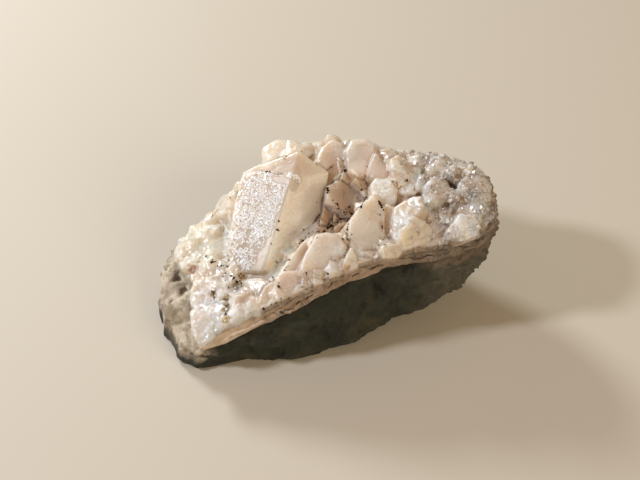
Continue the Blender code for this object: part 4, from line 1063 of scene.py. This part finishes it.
        move_along_normals(crust.data, lift)
        for name, numbers in values.items():
            point_values(crust.data, name, numbers, "FLOAT_COLOR" if name == "stone" else "FLOAT")
        flatten_underside(crust.data)
        paint(crust, calcite_material("crust calcite", CRUST_DEPTH))
        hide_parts("calcite_crystals")
        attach(crust, "root")
        return {"FINISHED"}


def scatter_tree(name, inputs, kinds, modes, settings, links):
    """A geometry tree that sets copies of a shape on points, makes them real and paints them.

    inputs, kinds and links come on top of the shared ones; modes and settings hold
    (node, property or input, value), and links hold (node, output, node, input). Returns the tree and
    the identifier of each input.
    """
    tree = bpy.data.node_groups.new(name, "GeometryNodeTree")
    tree.interface.new_socket(name="Geometry", in_out="INPUT", socket_type="NodeSocketGeometry")
    keys = {}
    for label, kind in {**inputs, "Seed": "NodeSocketInt", "Material": "NodeSocketMaterial"}.items():
        keys[label] = tree.interface.new_socket(name=label, in_out="INPUT", socket_type=kind).identifier
    tree.interface.new_socket(name="Geometry", in_out="OUTPUT", socket_type="NodeSocketGeometry")
    nodes = {label: tree.nodes.new(kind) for label, kind in {**SHARED_NODES, **kinds}.items()}
    nodes["share"].data_type = "FLOAT"
    for label, key, value in modes:
        setattr(nodes[label], key, value)
    for label, key, value in settings:
        nodes[label].inputs[key].default_value = value
    for first, output, second, key in (*links, *SHARED_LINKS):
        tree.links.new(nodes[first].outputs[output], nodes[second].inputs[key])
    return tree, keys


def grown(source, name, tree, keys, values, material):
    """Run a geometry tree on a copy of an object and keep its result as a plain mesh."""
    thing = bpy.data.objects.new(name, source.data.copy())
    bpy.context.scene.collection.objects.link(thing)
    step = thing.modifiers.new(name, "NODES")
    step.node_group = tree
    for label, value in values.items():
        step[keys[label]] = value
    evaluated(thing)
    paint(thing, material)
    return thing


def druse_tree():
    """Small rhombs scattered over a surface, each on a corner and turned at random."""
    return scatter_tree(
        "druse", {"Spacing": "NodeSocketFloat", "Size": "NodeSocketFloat"},
        {"points": "GeometryNodeDistributePointsOnFaces", "cube": "GeometryNodeMeshCube",
         "stand": "GeometryNodeTransform", "squash": "GeometryNodeTransform",
         "tilted": "FunctionNodeRotateRotation", "scaled": "ShaderNodeMath"},
        (("points", "distribute_method", "POISSON"), ("turn", "data_type", "FLOAT_VECTOR"),
         ("grow", "data_type", "FLOAT"), ("tilted", "rotation_space", "LOCAL"),
         ("scaled", "operation", "MULTIPLY")),
        (("share", "Name", "sugar"), ("points", "Density Max", 4.0e6), ("cube", "Size", (1.0, 1.0, 1.0)),
         ("stand", "Rotation", (math.radians(45.0), math.radians(35.264), 0.0)),
         ("squash", "Scale", (1.0, 1.0, 0.72)), ("squash", "Translation", (0.0, 0.0, -0.22)),
         ("turn", 0, (-0.45, -0.45, -math.pi)), ("turn", 1, (0.45, 0.45, math.pi)),
         ("grow", 2, 0.35), ("grow", 3, 1.60)),
        (("in", "Geometry", "points", "Mesh"), ("in", "Spacing", "points", "Distance Min"),
         ("in", "Seed", "points", "Seed"), ("share", "Attribute", "points", "Density Factor"),
         ("cube", "Mesh", "stand", "Geometry"), ("stand", "Geometry", "squash", "Geometry"),
         ("points", "Rotation", "tilted", "Rotation"), ("turn", 0, "tilted", "Rotate By"),
         ("grow", 1, "scaled", 0), ("in", "Size", "scaled", 1), ("points", "Points", "instances", "Points"),
         ("squash", "Geometry", "instances", "Instance"), ("tilted", "Rotation", "instances", "Rotation"),
         ("scaled", 0, "instances", "Scale")))


class CALCITE_OT_druse(bpy.types.Operator):
    """Scatter the finest crystals over the sugary right end"""

    bl_idname = "calcite.druse"
    bl_label = "Druse"

    def execute(self, context):
        sizes = context.scene.calcite_sizes
        tree, keys = druse_tree()
        material = calcite_material("druse calcite", DRUSE_DEPTH)
        values = {"Spacing": sizes.druse_spacing, "Size": sizes.druse_size, "Seed": DRUSE_SEED,
                  "Material": material}
        druse = grown(bpy.data.objects["calcite_crust"], "calcite_druse", tree, keys, values, material)
        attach(druse, "root")
        return {"FINISHED"}


def seam_places(rng):
    """Places along the seams where crystals meet, and the size of the grain on each."""
    places = []
    for a, b in sharp_edges(False):
        for _ in range(max(1, int((b - a).length / SEAM_STEP))):
            spot = a.lerp(b, rng.random())
            near = nearness(spot, *HOLLOW_GRAINS)
            rich = soft(noise.noise(spot / 3.5), 0.10, 0.45)
            if rng.random() < 0.03 + 0.60 * near + 0.20 * rich and spot.x < 20.0:
                places.append((spot, rng.uniform(0.20, 0.45 + 0.35 * near)))
    return places


def seen_grains():
    """Place in millimetres, to a tenth, and size of each grain that the photograph shows."""
    solid = surface_tree(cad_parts["calcite_crystals"].data)
    found = []
    for column, row, width in GRAIN_PIXELS:
        place = solid.ray_cast(*sight_line(column, row))[0]
        found.append((rounded(place, 1), round(0.5 * width, 1)))
    return found


def grains_tree():
    """A small rough grain on each point, of the size that the point carries."""
    return scatter_tree(
        "grains", {"Size": "NodeSocketFloat"},
        {"ball": "GeometryNodeMeshIcoSphere", "sized": "ShaderNodeMath", "scaled": "ShaderNodeVectorMath"},
        (("turn", "data_type", "FLOAT_VECTOR"), ("grow", "data_type", "FLOAT_VECTOR"),
         ("sized", "operation", "MULTIPLY"), ("scaled", "operation", "SCALE")),
        (("share", "Name", "grain"), ("ball", "Radius", 0.5), ("ball", "Subdivisions", 1),
         ("turn", 0, (0.0, 0.0, 0.0)), ("turn", 1, (math.tau, math.tau, math.tau)),
         ("grow", 0, (0.6, 0.6, 0.5)), ("grow", 1, (1.3, 1.2, 1.0))),
        (("in", "Geometry", "instances", "Points"), ("ball", "Mesh", "instances", "Instance"),
         ("turn", 0, "instances", "Rotation"), ("share", "Attribute", "sized", 0),
         ("in", "Size", "sized", 1), ("grow", 0, "scaled", 0), ("sized", 0, "scaled", "Scale"),
         ("scaled", 0, "instances", "Scale")))


class CALCITE_OT_grains(bpy.types.Operator):
    """Set the dark grains into the seams and the small nests at the left"""

    bl_idname = "calcite.grains"
    bl_label = "Grains"

    def execute(self, context):
        sizes = context.scene.calcite_sizes
        rng = random.Random(PLACE_SEED)
        places = seam_places(rng)
        tree = surface_tree(bpy.data.objects["calcite_crust"].data)
        for centre, reach, count in NESTS:
            for _ in range(count):
                spot = Vector(centre) + Vector((rng.gauss(0.0, 0.5), rng.gauss(0.0, 0.5), 0.0)) * reach
                hit = tree.ray_cast(Vector((spot.x, spot.y, 40.0)), Vector((0.0, 0.0, -1.0)))[0]
                if hit:
                    places.append((hit, rng.uniform(0.25, 0.60)))
        for centre, size in seen_grains():
            places.append((tree.find_nearest(centre)[0], size * rng.uniform(0.6, 1.15)))
            for _ in range(rng.choice((1, 2, 3))):
                spot = centre + 0.32 * Vector([rng.gauss(0.0, 1.0) for _ in range(3)])
                places.append((tree.find_nearest(spot)[0], size * rng.uniform(0.25, 0.60)))
        mesh = bpy.data.meshes.new("grain places")
        mesh.from_pydata([spot * MM for spot, size in places], [], [])
        point_values(mesh, "grain", [size for spot, size in places])
        source = bpy.data.objects.new("grain places", mesh)
        group, keys = grains_tree()
        material = grain_material(context.scene.calcite_colours)
        values = {"Size": sizes.grain_size, "Seed": GRAIN_SEED, "Material": material}
        grains = grown(source, "pyrite_grains", group, keys, values, material)
        bpy.data.objects.remove(source)
        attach(grains, "root")
        return {"FINISHED"}


def area_light(name, direction, distance, size, power, colour):
    """A soft round light that looks at the specimen from a direction."""
    data = bpy.data.lights.new(name, "AREA")
    data.shape = "DISK"
    data.size = size
    data.energy = power
    data.color = colour
    thing = bpy.data.objects.new(name, data)
    bpy.context.scene.collection.objects.link(thing)
    away = Vector(direction).normalized()
    thing.location = away * distance + LIGHT_AIM
    thing.rotation_euler = away.to_track_quat("Z", "Y").to_euler()


class CALCITE_OT_stage(bpy.types.Operator):
    """Make the plain floor, the soft lights and the camera"""

    bl_idname = "calcite.stage"
    bl_label = "Stage"

    def execute(self, context):
        scene = context.scene
        mesh = bpy.data.meshes.new("floor")
        corners = [(x * FLOOR_HALF, y * FLOOR_HALF, 0.0) for x, y in ((-1, -1), (1, -1), (1, 1), (-1, 1))]
        mesh.from_pydata(corners, [], [(0, 1, 2, 3)])
        floor = bpy.data.objects.new("floor", mesh)
        scene.collection.objects.link(floor)
        material, tree, shader = new_material("floor")
        feed(tree, shader, {"Base Color": (*scene.calcite_colours.floor, 1.0), "Roughness": 0.7})
        mesh.materials.append(material)

        for light in LIGHTS:
            area_light(*light)
        world = bpy.data.worlds.new("room light")
        world.use_nodes = True
        world.node_tree.nodes["Background"].inputs["Color"].default_value = ROOM_COLOUR
        world.node_tree.nodes["Background"].inputs["Strength"].default_value = ROOM_STRENGTH
        scene.world = world

        back = camera_axes()[0]
        data = bpy.data.cameras.new("camera")
        data.lens = LENS
        data.sensor_width = SENSOR_WIDTH
        data.clip_start = 0.01
        camera = bpy.data.objects.new("camera", data)
        scene.collection.objects.link(camera)
        camera.location = (SHIFT + Vector((0.0, 0.0, AIM_HEIGHT))) * MM + back * CAMERA_DISTANCE
        camera.rotation_euler = back.to_track_quat("Z", "Y").to_euler()
        scene.camera = camera
        scene.view_settings.view_transform = "Standard"
        return {"FINISHED"}


class CALCITE_PT_panel(bpy.types.Panel):
    """Lists the sizes, the colours and the pieces"""

    bl_idname = "CALCITE_PT_panel"
    bl_label = "Calcite specimen"
    bl_space_type = "VIEW_3D"
    bl_region_type = "UI"
    bl_category = "Calcite"

    def draw(self, context):
        layout = self.layout
        for group in (context.scene.calcite_sizes, context.scene.calcite_colours):
            for name in group.__annotations__:
                layout.prop(group, name)
        for operator in OPERATORS:
            layout.operator(operator.bl_idname)


OPERATORS = (
    CALCITE_OT_host_rock, CALCITE_OT_contact_band, CALCITE_OT_crystals, CALCITE_OT_druse,
    CALCITE_OT_grains, CALCITE_OT_stage,
)
CLASSES = (CalciteSizes, CalciteColours, *OPERATORS, CALCITE_PT_panel)


def register():
    for item in CLASSES:
        bpy.utils.register_class(item)
    bpy.types.Scene.calcite_sizes = bpy.props.PointerProperty(type=CalciteSizes)
    bpy.types.Scene.calcite_colours = bpy.props.PointerProperty(type=CalciteColours)


def unregister():
    del bpy.types.Scene.calcite_colours
    del bpy.types.Scene.calcite_sizes
    for item in reversed(CLASSES):
        bpy.utils.unregister_class(item)


def main():
    """Make every piece in order."""
    register()
    bpy.ops.calcite.host_rock()
    bpy.ops.calcite.contact_band()
    bpy.ops.calcite.crystals()
    bpy.ops.calcite.druse()
    bpy.ops.calcite.grains()
    bpy.ops.calcite.stage()


if __name__ == "__main__":
    main()
